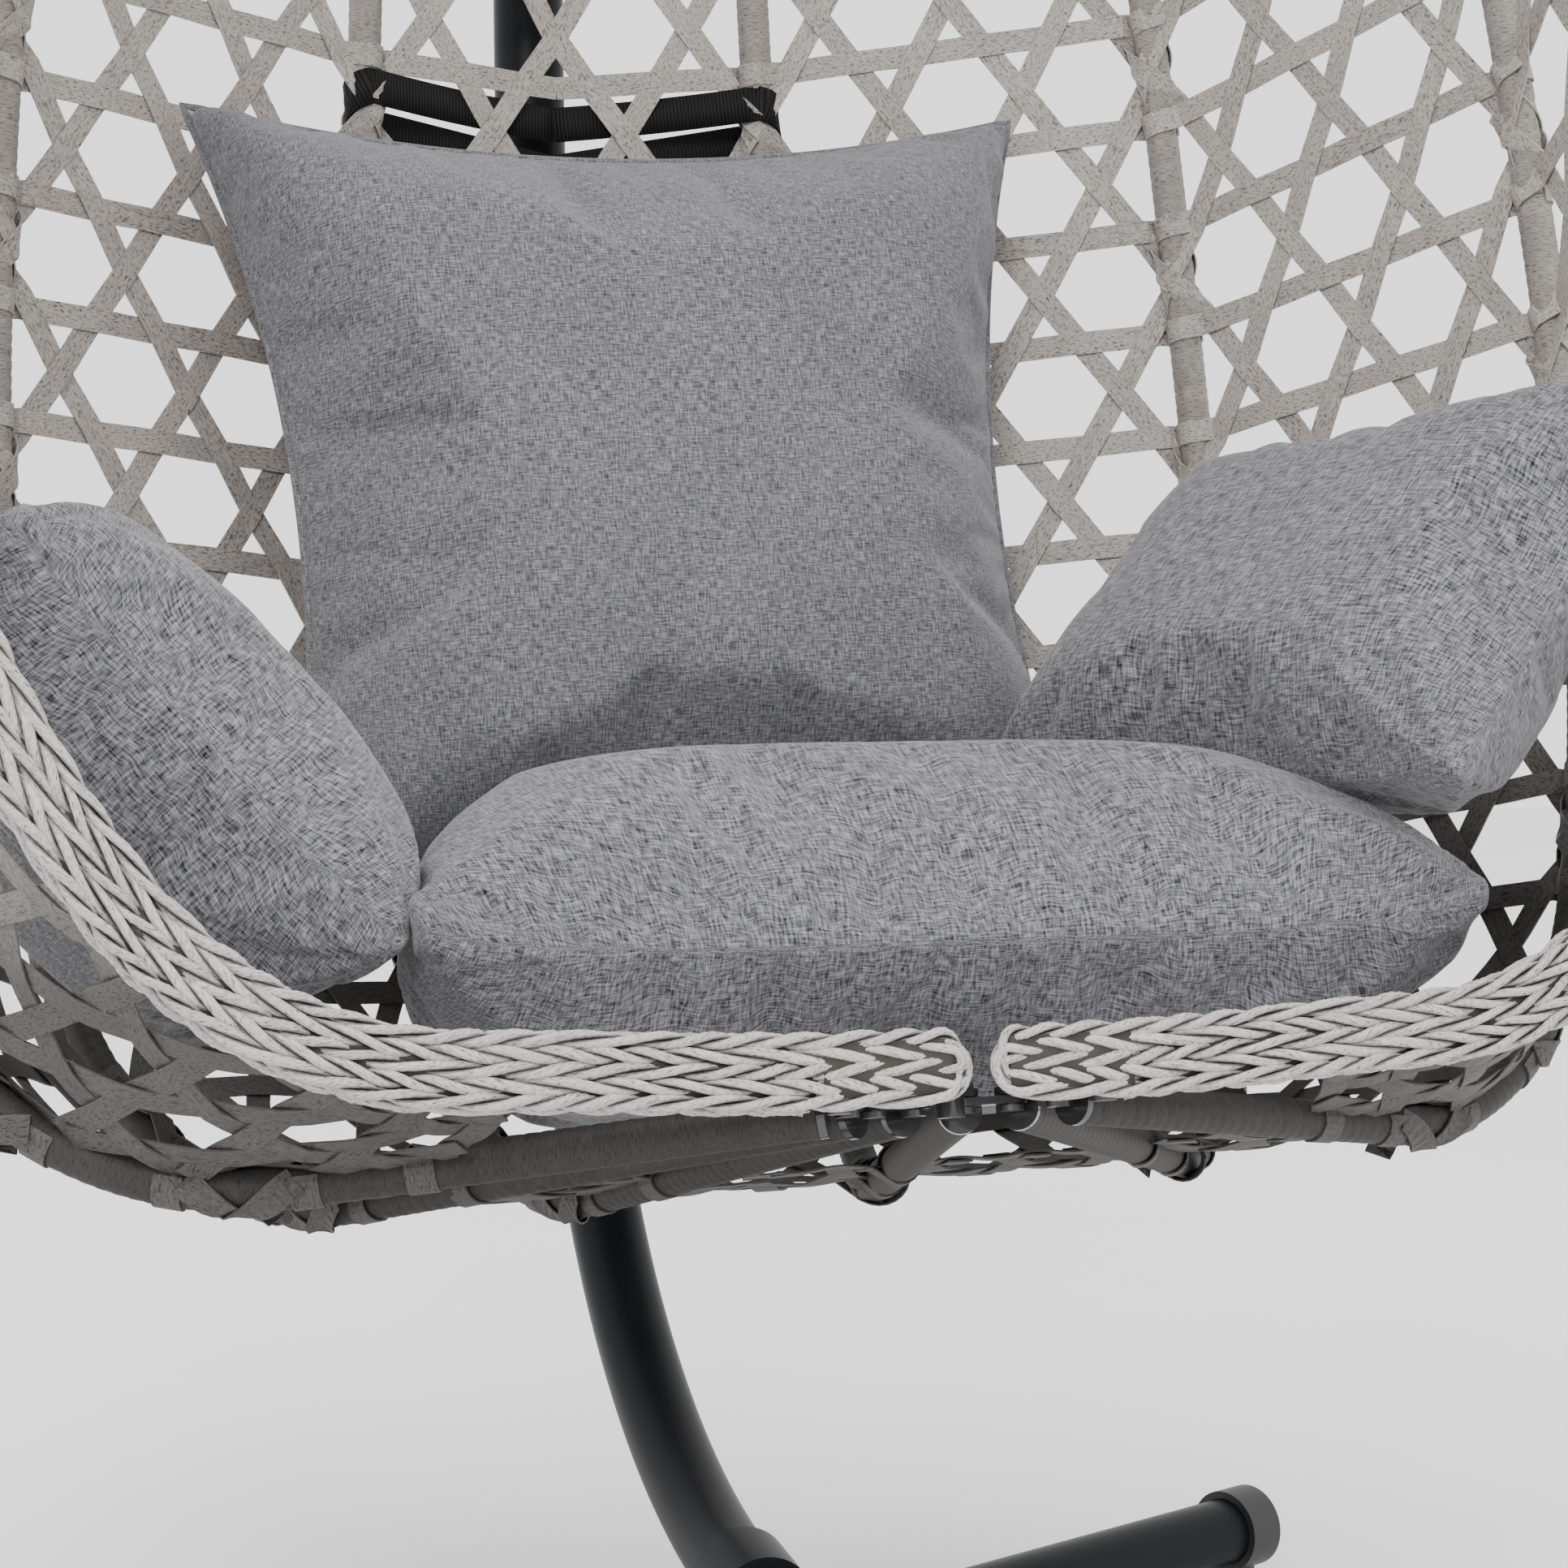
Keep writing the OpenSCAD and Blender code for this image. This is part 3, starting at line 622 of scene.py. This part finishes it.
class Panel:
    """The surface between two ribs: s along rib 2 sets the height, v runs across."""

    def __init__(self, k, side):
        self.a, self.b = RIBS[k, side], RIBS[k + 1, side]
        self.k = k
        self.rows = 3 if k == 0 else 6
        self.outside = SIDES[side]

    def edge(self, s, v):
        """Points on the two ribs' centre lines, and between them."""
        q = master(np.atleast_1d(s))
        a = self.a.place(self.a.at(q))
        b = self.b.place(self.b.at(q))
        v = np.atleast_1d(v)[:, None]
        return a * (1 - v) + b * v, b - a

    def surface(self, s, v):
        """Points on the surface and its normals, which point into the basket."""
        p, chord = self.edge(s, v)
        step = 0.002
        up = self.edge(s + step, v)[0] - self.edge(s - step, v)[0]
        return p, unit(np.cross(up, chord)) * self.outside


def wrap_round(panel, s, v, slope, lift, layer):
    """The strip's end that goes round a rib's tube: points and normals, rib first."""
    rib = panel.a if v == 0 else panel.b
    other = panel.b if v == 0 else panel.a
    q = master(np.array([s]))
    centre = rib.place(rib.at(q))[0]
    inward = unit(other.place(other.at(q))[0] - centre)
    normal = panel.surface(np.array([s]), np.array([v]))[1][0]
    along = np.cross(normal, inward)
    along *= np.sign(along @ (panel.edge(s + 0.01, v)[0][0] - centre))
    radius = RIB_R + STRIP_T / 2 + layer * (STRIP_T + LAYER_GAP)
    phi = np.radians(np.arange(200, 70, -18))
    radial = np.cos(phi)[:, None] * inward + lift * np.sin(phi)[:, None] * normal
    slope = max(-STEEPEST_WRAP, min(STEEPEST_WRAP, slope))
    drift = -slope * radius * (phi - math.pi / 2)
    return centre + radius * radial + drift[:, None] * along, lift * radial


def strip(panel, start, end, lift, layer, ends=(True, True)):
    """One woven strip from start to end, both (s, v), as its line and its normals."""
    t = np.linspace(0, 1, STRIP_POINTS)
    s = start[0] + (end[0] - start[0]) * t
    v = start[1] + (end[1] - start[1]) * t
    across = np.linalg.norm(panel.edge(s, v)[1], axis=1) * abs(end[1] - start[1])
    slope = (end[0] - start[0]) / max(across.mean(), 0.02)
    room = END_ROOM / max(across.mean(), 0.04)
    low = room if ends[0] else 0.0
    high = 1 - room if ends[1] else 1.0
    t = np.linspace(low, high, STRIP_POINTS)
    s = start[0] + (end[0] - start[0]) * t
    v = start[1] + (end[1] - start[1]) * t
    line, normals = panel.surface(s, v)
    line = line + normals * lift(s, v)[:, None]
    if ends[0]:
        p, n = wrap_round(panel, start[0], start[1], slope, -1.0, layer)
        line, normals = np.concatenate([p, line]), np.concatenate([n, normals])
    if ends[1]:
        p, n = wrap_round(panel, end[0], end[1], -slope, 1.0, layer)
        line, normals = np.concatenate([line, p[::-1]]), np.concatenate([normals, n[::-1]])
    return line, normals


def weave(panel):
    """All strips of one panel: lists of (line, normals, first point, last point)."""
    rows, pitch = panel.rows, COURSE
    bottom, top = FIRST_COURSE, MASTER_LENGTH - LAST_COURSE
    near = panel.k > 0
    far = panel.k < 3
    strips = []

    def add(start, end, lift, layer, ends):
        line, normals = strip(panel, start, end, lift, layer, ends)
        blend_from = panel.edge(start[0], 0.0)[0][0]
        blend_to = panel.edge(end[0], 1.0)[0][0]
        strips.append((line, normals, blend_from, blend_to))

    count = int((top - bottom) / pitch)
    for m in range(count + 1):
        s = bottom + m * pitch
        phase = (0.5 + m % 2) / rows

        def course(s_, v_, phase=phase):
            return WEAVE_LIFT * np.cos(math.pi * rows * (v_ - phase))

        add((s, 0.0), (s, 1.0), course, 0, (near, far))
    crossing = bottom - pitch / 2
    for way in (1.0, -1.0):

        def diagonal(s_, v_, way=way):
            return way * WEAVE_LIFT * np.cos(2 * math.pi * (s_ - crossing) / pitch)

        for m in range(-rows, count + rows, 2):
            s0 = crossing + m * pitch
            s1 = s0 + way * rows * pitch
            v0, v1 = 0.0, 1.0
            lowest, highest = bottom - EDGE_ROOM, top + EDGE_ROOM
            for limit in (lowest, highest):
                cut = (limit - s0) / (s1 - s0)
                if 0 < cut < 1:
                    if (s0 - limit) * (limit - (lowest + highest) / 2) > 0:
                        v0 = cut
                    else:
                        v1 = cut
            a, b = s0 + (s1 - s0) * v0, s0 + (s1 - s0) * v1
            inside = lowest - 1e-6 <= min(a, b) and max(a, b) <= highest + 1e-6
            if inside and v1 - v0 > SHORTEST_DIAGONAL:
                layer = 0 if way > 0 else 1
                add((a, v0), (b, v1), diagonal, layer, (near and v0 == 0, far and v1 == 1))
    return strips


def panels():
    """The woven panels, strip by strip, each laid between its own two ribs."""
    section = flat_section(STRIP_W, STRIP_T)
    for k, name in enumerate(("back", "inner", "middle", "outer")):
        for side in SIDES:
            panel = Panel(k, side)
            parts = []
            for i, (line, normals, first, last) in enumerate(weave(panel)):
                made = Sweeps()
                made.sweeps = i
                part = made.add(line, normals, section).build(f"strip_{name}_{side}_{i}", False)
                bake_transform(part)
                parts.append(dress(part, STRIP))
            woven = join(f"weave_{name}_{side}", parts)
            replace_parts(woven, f"panel_{name}_{side}")


def two_ply(made, line, normals, hand, start_turn):
    """Two cords laid round one another along a line, a little unevenly."""
    side = np.cross(tangents(line), normals)
    s = along_line(line)
    uneven = 0.9 * np.sin(s / 0.041 + 3 * start_turn) + 0.5 * np.sin(s / 0.0173 + start_turn)
    turn = hand * (2 * math.pi * s / PLY_TURN + uneven) + start_turn
    thick = (1 + 0.10 * np.sin(s / 0.023 + 5 * start_turn))[:, None, None]
    for ply in (0.0, math.pi):
        c, n = np.cos(turn + ply)[:, None], np.sin(turn + ply)[:, None]
        radial = c * side + n * normals
        made.add(line + radial * PLY_R * PLY_LAP, radial, round_section(PLY_R, 8) * thick)


def without_repeats(line):
    steps = np.linalg.norm(np.diff(line, axis=0), axis=1)
    return line[np.concatenate([[True], steps > 1e-5])]


def braid_tail(rim, out, sideways, end):
    """A front cord's run past the rim's lower end, in front of the lugs, to the middle."""
    w = np.linspace(TUBE_START, end, 24)[1:]
    flat = np.stack([w, 0 * w + RIM_LEVEL, 0 * w], axis=1)
    ease = np.clip((TUBE_START - w) / 0.03, 0, 1)
    return rim.place(flat, out, sideways + 0.0025 * ease)


def front_cords(made, rim, stations, out, sideways):
    """Cords on the braid's face. Each pair turns back at the middle of the basket."""
    end = -(abs(rim.pivot[0]) - BRAID_GAP - 2 * PLY_R)
    pairs = BRAID_ROWS // 2
    for number in range(pairs + 1):
        row = out * (1 - number / pairs)
        reach = 0.8 * row
        upper = rim.place(stations, -row, sideways)[::-1]
        upper = np.concatenate([upper, braid_tail(rim, -row, sideways, end + reach)])
        if row:
            lower = rim.place(stations, row, sideways)[::-1]
            lower = np.concatenate([lower, braid_tail(rim, row, sideways, end + reach)])
            turn = np.linspace(-math.pi / 2, math.pi / 2, 16)[1:-1]
            middle, half = (upper[-1] + lower[-1]) / 2, (upper[-1] - lower[-1]) / 2
            loop = (middle - np.sin(turn)[:, None] * half
                    - np.cos(turn)[:, None] * reach * rim.outward)
            upper = np.concatenate([upper, loop, lower[::-1]])
        line = without_repeats(upper)
        two_ply(made, line, np.tile(rim.across, (len(line), 1)), (-1) ** number, 1.0 + number)


def back_cords(made, rim, stations, out, sideways):
    """Cords on the braid's rear face and its two edges."""
    places = [(out * (1 - i / 2), -sideways) for i in range(BRAID_ROWS)]
    places += [(out * 1.04, 0.0), (-out * 1.04, 0.0)]
    for number, (row, side) in enumerate(places):
        line = rim.place(stations, row, side)
        two_ply(made, line, np.tile(rim.across, (len(line), 1)), (-1) ** number, 0.7 * number)


def braid_inside(rim, name):
    """The filling that shows between the cords, dark as a painted shadow in the gaps."""
    made = Sweeps()
    circle = round_section(1.0, 20)
    size = np.sum(circle ** 4, axis=1, keepdims=True) ** -0.25
    depth = 1.9 * PLY_R
    box = circle * size * np.array([[BRAID_H / 2 - depth, BRAID_T / 2 - depth]])
    line = rim.line()
    made.add(line, np.tile(rim.across, (len(line), 1)), box)
    tail = braid_tail(rim, 0.0, BRAID_T / 2 - 0.0035, -(abs(rim.pivot[0]) - 0.014))
    tail_section = flat_section(BRAID_H - 0.012, 0.002)
    made.add(tail, np.tile(rim.across, (len(tail), 1)), tail_section)
    return dress(made.build(name), BRAID_SHADOW_FILL)


def braids():
    """The plaited band round each rim half; its front cords run on and turn at the middle."""
    out = BRAID_H / 2 - 1.8 * PLY_R
    sideways = BRAID_T / 2 - 1.8 * PLY_R
    for side in SIDES:
        rim = RIBS[4, side]
        fine = along_line(rim.line())
        q = np.interp(np.linspace(0, fine[-1], 440), fine, np.arange(len(fine)) / rim.per_segment)
        stations = rim.at(q)
        made = Sweeps()
        front_cords(made, rim, stations, out, sideways)
        back_cords(made, rim, stations, out, sideways)
        band = dress(made.build(f"braid_{side}_cords"), BRAID)
        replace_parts(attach(band, f"fan_rim_{side}"), f"braid_{side}")
        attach(braid_inside(rim, f"braid_{side}_inside"), f"fan_rim_{side}")


def strap():
    """Elastic strap looped round the two back ribs, behind the weave."""
    for side in SIDES:
        rib = RIBS[1, side]
        q = float(np.interp(STRAP_HEIGHT, rib.stations[:, 1], np.arange(len(rib.stations))))
        q /= rib.per_segment
        station = rib.at([q])
        centre = rib.place(station)[0]
        middle = RIBS[0, side].place(RIBS[0, side].at([q]))[0]
        over = centre - middle
        over = unit(over - UP * (over @ UP))
        r = RIB_R + STRAP_T
        front_middle = middle + BACK * 0.008
        rear_middle = middle + BACK * 0.018 - UP * 0.03
        phi = np.radians(np.linspace(-100, 90, 12))
        loop = centre + r * (np.cos(phi)[:, None] * over + np.sin(phi)[:, None] * BACK)
        loop = loop - UP * (STRAP_FALL * (phi[:, None] - phi[0]) / (phi[-1] - phi[0]))
        f = np.linspace(0, 1, 14)[:-1, None]
        sag = np.sin(math.pi * f) * STRAP_SLACK
        front = front_middle * (1 - f) + loop[0] * f + BACK * sag
        rear = loop[-1] * (1 - f) + rear_middle * f + (rear_middle - loop[-1]) / 13
        line = np.concatenate([front, loop, rear[1:]])
        t = tangents(line)
        normals = unit(np.cross(t, np.tile(UP, (len(line), 1))))
        band = Sweeps().add(line, normals, flat_section(STRAP_W, STRAP_T)).build(f"strap_{side}")
        dress(band, STRAP)
        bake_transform(band)


# ---------------------------------------------------------------- cushions


def turned(x=0.0, y=0.0, z=0.0):
    """The turn about X, then Y, then Z, in degrees."""
    return (
        Matrix.Rotation(math.radians(z), 3, "Z")
        @ Matrix.Rotation(math.radians(y), 3, "Y")
        @ Matrix.Rotation(math.radians(x), 3, "X")
    )


CUSHIONS = {
    "seat_cushion": dict(
        size=(0.585, 0.400, 0.172), pull=0.05, taper=0.3, at=(0.035, 0.250, 0.096), turn=turned(),
        fill=0.7, voxel=0.0065, creases=7, droop=0.022, crown=1.10),
    "back_pillow": dict(
        size=(0.508, 0.520, 0.165), pull=0.13, taper=-0.08, at=(0.008, 0.466, 0.405),
        turn=turned(x=85) @ turned(z=1.4), fill=0.6, voxel=0.0065, creases=5, droop=0.0, crown=0.96),
    "bolster_left": dict(
        size=(0.280, 0.320, 0.145), pull=0.06, taper=0.0, at=(-0.360, 0.214, 0.186),
        turn=turned(y=49, z=3), fill=0.65, voxel=0.0055, creases=11, droop=0.0, crown=0.96),
    "bolster_right": dict(
        size=(0.300, 0.400, 0.130), pull=0.06, taper=0.0, at=(0.336, 0.222, 0.274),
        turn=turned(x=8, y=-47, z=10), fill=0.65, voxel=0.0055, creases=9, droop=0.0, crown=0.96),
}


def outline(spec, x, y):
    """Where the point (x, y) of the cushion's square lies on its middle surface, whose
    front edge may hang down."""
    size, pull, taper = spec["size"], spec["pull"], spec["taper"]
    px = size[0] / 2 * x * (1 - pull * (1 - y * y)) * (1 - taper * ((y + 1) / 2) ** 2)
    py = size[1] / 2 * y * (1 - pull * (1 - x * x))
    pz = -spec["droop"] * ((1 - y) / 2) ** 3 * np.sqrt(1 - x ** 4)
    return np.stack([px, py, pz], axis=-1)


def cushion_shell(name, spec):
    """A closed shell: two crowned faces that meet in a thin edge."""
    n, edge = SHELL_CELLS, SHELL_EDGE
    g = np.sin(np.linspace(-math.pi / 2, math.pi / 2, n + 1))
    x, y = np.meshgrid(g, g)
    middle = outline(spec, x, y)
    crown = (spec["size"][2] / 2 - edge) * spec["crown"] * np.sqrt((1 - x ** 4) * (1 - y ** 4))
    rise = np.stack([0 * x, 0 * y, edge + crown], axis=-1)
    under = rise * np.array([0.0, 0.0, UNDERSIDE if spec["droop"] else 1.0])
    points = np.concatenate([(middle + rise).reshape(-1, 3), (middle - under).reshape(-1, 3)])
    m, count = n + 1, (n + 1) ** 2
    faces = []
    for j in range(n):
        for i in range(n):
            q = j * m + i
            faces.append([q, q + 1, q + m + 1, q + m])
            faces.append([count + q, count + q + m, count + q + m + 1, count + q + 1])
    ring = (list(range(n)) + [j * m + n for j in range(n)]
            + [n * m + n - i for i in range(n)] + [(n - j) * m for j in range(n)])
    for i, p in enumerate(ring):
        q = ring[(i + 1) % len(ring)]
        faces.append([p, count + p, count + q, q])
    mesh = bpy.data.meshes.new(name)
    mesh.from_pydata(points.tolist(), [], faces)
    piece = bpy.data.objects.new(name, mesh)
    bpy.context.scene.collection.objects.link(piece)
    return piece


def above_middle(spec, co):
    """Heights of points over the cushion's middle surface."""
    half = np.array(spec["size"]) / 2
    x, y = (np.clip(co[:, c] / half[c], -1, 1) for c in (0, 1))
    return co[:, 2] - outline(spec, x, y)[:, 2]


def mark_cloth(piece, spec):
    """Stores each point's place on the cloth: across, along, and which face."""
    co = coordinates(piece.data)
    half = np.array(spec["size"]) / 2
    x, y = co[:, 0] / half[0], co[:, 1] / half[1]
    height = above_middle(spec, co)
    down = half[2] - np.minimum(np.abs(height), half[2])
    cloth = np.stack([co[:, 0] + down * np.sign(x) * np.abs(x) ** 3,
                      co[:, 1] + down * np.sign(y) * np.abs(y) ** 3,
                      4.0 * np.sign(height)], axis=1)
    mark = piece.data.attributes.new("cloth", "FLOAT_VECTOR", "POINT")
    mark.data.foreach_set("vector", cloth.ravel())


def apply_modifiers(piece):
    """Replaces the mesh with the evaluated one."""
    graph = bpy.context.evaluated_depsgraph_get()
    mesh = bpy.data.meshes.new_from_object(piece.evaluated_get(graph))
    piece.modifiers.clear()
    piece.data = mesh


def coordinates(mesh):
    co = np.zeros(len(mesh.vertices) * 3)
    mesh.vertices.foreach_get("co", co)
    return co.reshape(-1, 3)


def inflate(piece, spec):
    """Cloth under pressure: the faces fill out and pucker against the sewn edge."""
    before = coordinates(piece.data)
    size = spec["size"]
    held = piece.vertex_groups.new(name="sewn")
    near = np.where(np.abs(above_middle(spec, before)) < 0.006)[0]
    held.add(near.tolist(), 1.0, "REPLACE")
    cloth = piece.modifiers.new("cloth", "CLOTH")
    cloth.settings.quality = 6
    cloth.settings.mass = 0.25
    cloth.settings.tension_stiffness = 12
    cloth.settings.compression_stiffness = 12
    cloth.settings.bending_stiffness = 0.15
    cloth.settings.shrink_min = -0.045
    cloth.settings.use_pressure = True
    cloth.settings.uniform_pressure_force = 4.0
    cloth.settings.vertex_group_mass = "sewn"
    cloth.settings.effector_weights.gravity = 0.0
    cloth.collision_settings.use_self_collision = False
    scene = bpy.context.scene
    for number in range(1, 21):
        scene.frame_set(number)
    apply_modifiers(piece)
    after = coordinates(piece.data)
    scene.frame_set(1)
    moved = after - before
    far = np.linalg.norm(moved, axis=1, keepdims=True)
    cap = 0.10 * size[2]
    moved *= np.minimum(1.0, cap / np.maximum(far, 1e-9))
    piece.data.vertices.foreach_set("co", (before + moved).ravel())
    piece.data.update()


def soft_creases(piece, spec):
    """Low folds that run in from the corners and the sewn edge."""
    co = coordinates(piece.data)
    half = np.array(spec["size"]) / 2
    x, y = co[:, 0] / half[0], co[:, 1] / half[1]
    lift = np.zeros(len(co))
    for i, (cx, cy) in enumerate(((-1, -1), (1, -1), (1, 1), (-1, 1))):
        dx, dy = (x - cx), (y - cy)
        away = np.hypot(dx, dy)
        angle = np.arctan2(dy * cy, dx * cx)
        wave = np.sin(angle * spec["creases"] + i * 1.7 + away * 2.0)
        lift += wave * np.exp(-((away - 0.28) / 0.26) ** 2)
    edge = 1 - np.maximum(np.abs(x), np.abs(y))
    pucker = np.sin(23 * np.where(np.abs(x) > np.abs(y), y, x) + 2 * np.sin(5 * x + 3 * y))
    lift += 0.35 * pucker * np.exp(-(edge / 0.09) ** 2)
    height = above_middle(spec, co)
    co[:, 2] += np.sign(height) * lift * CREASE_HEIGHT * np.clip(np.abs(height) / 0.012, 0, 1)
    piece.data.vertices.foreach_set("co", co.ravel())
    piece.data.update()


def welt(name, spec):
    """The narrow sewn ridge along a cushion's edge."""
    g = np.linspace(-1, 1, 60)[:-1]
    one = np.ones_like(g)
    x = np.concatenate([g, one, -g, -one])
    y = np.concatenate([-one, g, one, -g])
    line = outline(spec, x, y)
    line = line + unit(line) * 0.0008
    line = np.concatenate([line, line[:2]])
    normals = np.tile([0.0, 0.0, 1.0], (len(line), 1))
    section = round_section(1.0, 8) * np.array([[0.0028, 0.0010]])
    return Sweeps().add(line, normals, section).build(f"{name}_welt")


def cushions():
    """The four cushions: simulated shells that stay on the core."""
    for name, spec in CUSHIONS.items():
        piece = cushion_shell(f"{name}_stuffed", spec)
        remesh = piece.modifiers.new("remesh", "REMESH")
        remesh.mode = "VOXEL"
        remesh.voxel_size = spec["voxel"] * 1
        apply_modifiers(piece)
        inflate(piece, spec)
        soft_creases(piece, spec)
        smooth = piece.modifiers.new("smooth", "SUBSURF")
        smooth.levels = smooth.render_levels = 1
        apply_modifiers(piece)
        if name == "back_pillow":
            piece = join(f"{name}_stuffed", [piece, welt(name, spec)])
        mark_cloth(piece, spec)
        piece.data.polygons.foreach_set("use_smooth", [True] * len(piece.data.polygons))
        axes = Matrix(((*RIGHT,), (*BACK,), (*UP,))).transposed()
        turn = (axes @ spec["turn"]).to_4x4()
        piece.matrix_world = Matrix.Translation(Vector(fan_point(*spec["at"]))) @ turn
        dress(piece, FINE_FABRIC if name == "back_pillow" else FABRIC)
        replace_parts(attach(piece, "core"), name)
        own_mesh(piece)


# ---------------------------------------------------------------- picture


def floor():
    """Plain pale ground, which isn't part of the object."""
    bpy.ops.mesh.primitive_plane_add(size=14, location=(0, 0, 0))
    plane = bpy.context.object
    plane.name = "studio_floor"
    dress(plane, floor_material())


def lamp(name, place, target, size, power):
    """One round area light, aimed at the target."""
    data = bpy.data.lights.new(name, "AREA")
    data.shape = "DISK"
    data.size = size
    data.energy = power
    light = bpy.data.objects.new(name, data)
    light.location = place
    light.rotation_euler = (Vector(target) - Vector(place)).to_track_quat("-Z", "Y").to_euler()
    bpy.context.scene.collection.objects.link(light)


def studio():
    """Soft white surroundings and three lights."""
    world = bpy.data.worlds.new("studio")
    world.use_nodes = True
    world.node_tree.nodes["Background"].inputs["Color"].default_value = (1, 1, 1, 1)
    world.node_tree.nodes["Background"].inputs["Strength"].default_value = 1.8
    bpy.context.scene.world = world
    aim = (0.0, -0.1, 0.8)
    lamp("key", (-1.6, -3.0, 2.9), aim, 1.2, 120)
    lamp("fill", (2.6, -2.2, 1.6), aim, 1.8, 12)
    lamp("top", (0.2, -0.4, 3.4), aim, 2.0, 70)


def camera():
    """Stands where the photo was taken, level with the seat and to the chair's left."""
    data = bpy.data.cameras.new("camera")
    data.lens = 80.88
    data.sensor_width = 36
    eye = bpy.data.objects.new("camera", data)
    eye.location = (-0.630, -1.9391, 0.6551)
    look = Vector((0.32313, 0.9446, -0.05753))
    eye.rotation_euler = look.to_track_quat("-Z", "Y").to_euler()
    bpy.context.scene.collection.objects.link(eye)
    bpy.context.scene.camera = eye


dress_cad_nodes()
pole_tubes()
spring_coil()
wrapped_tubes()
panels()
braids()
strap()
cushions()
floor()
studio()
camera()
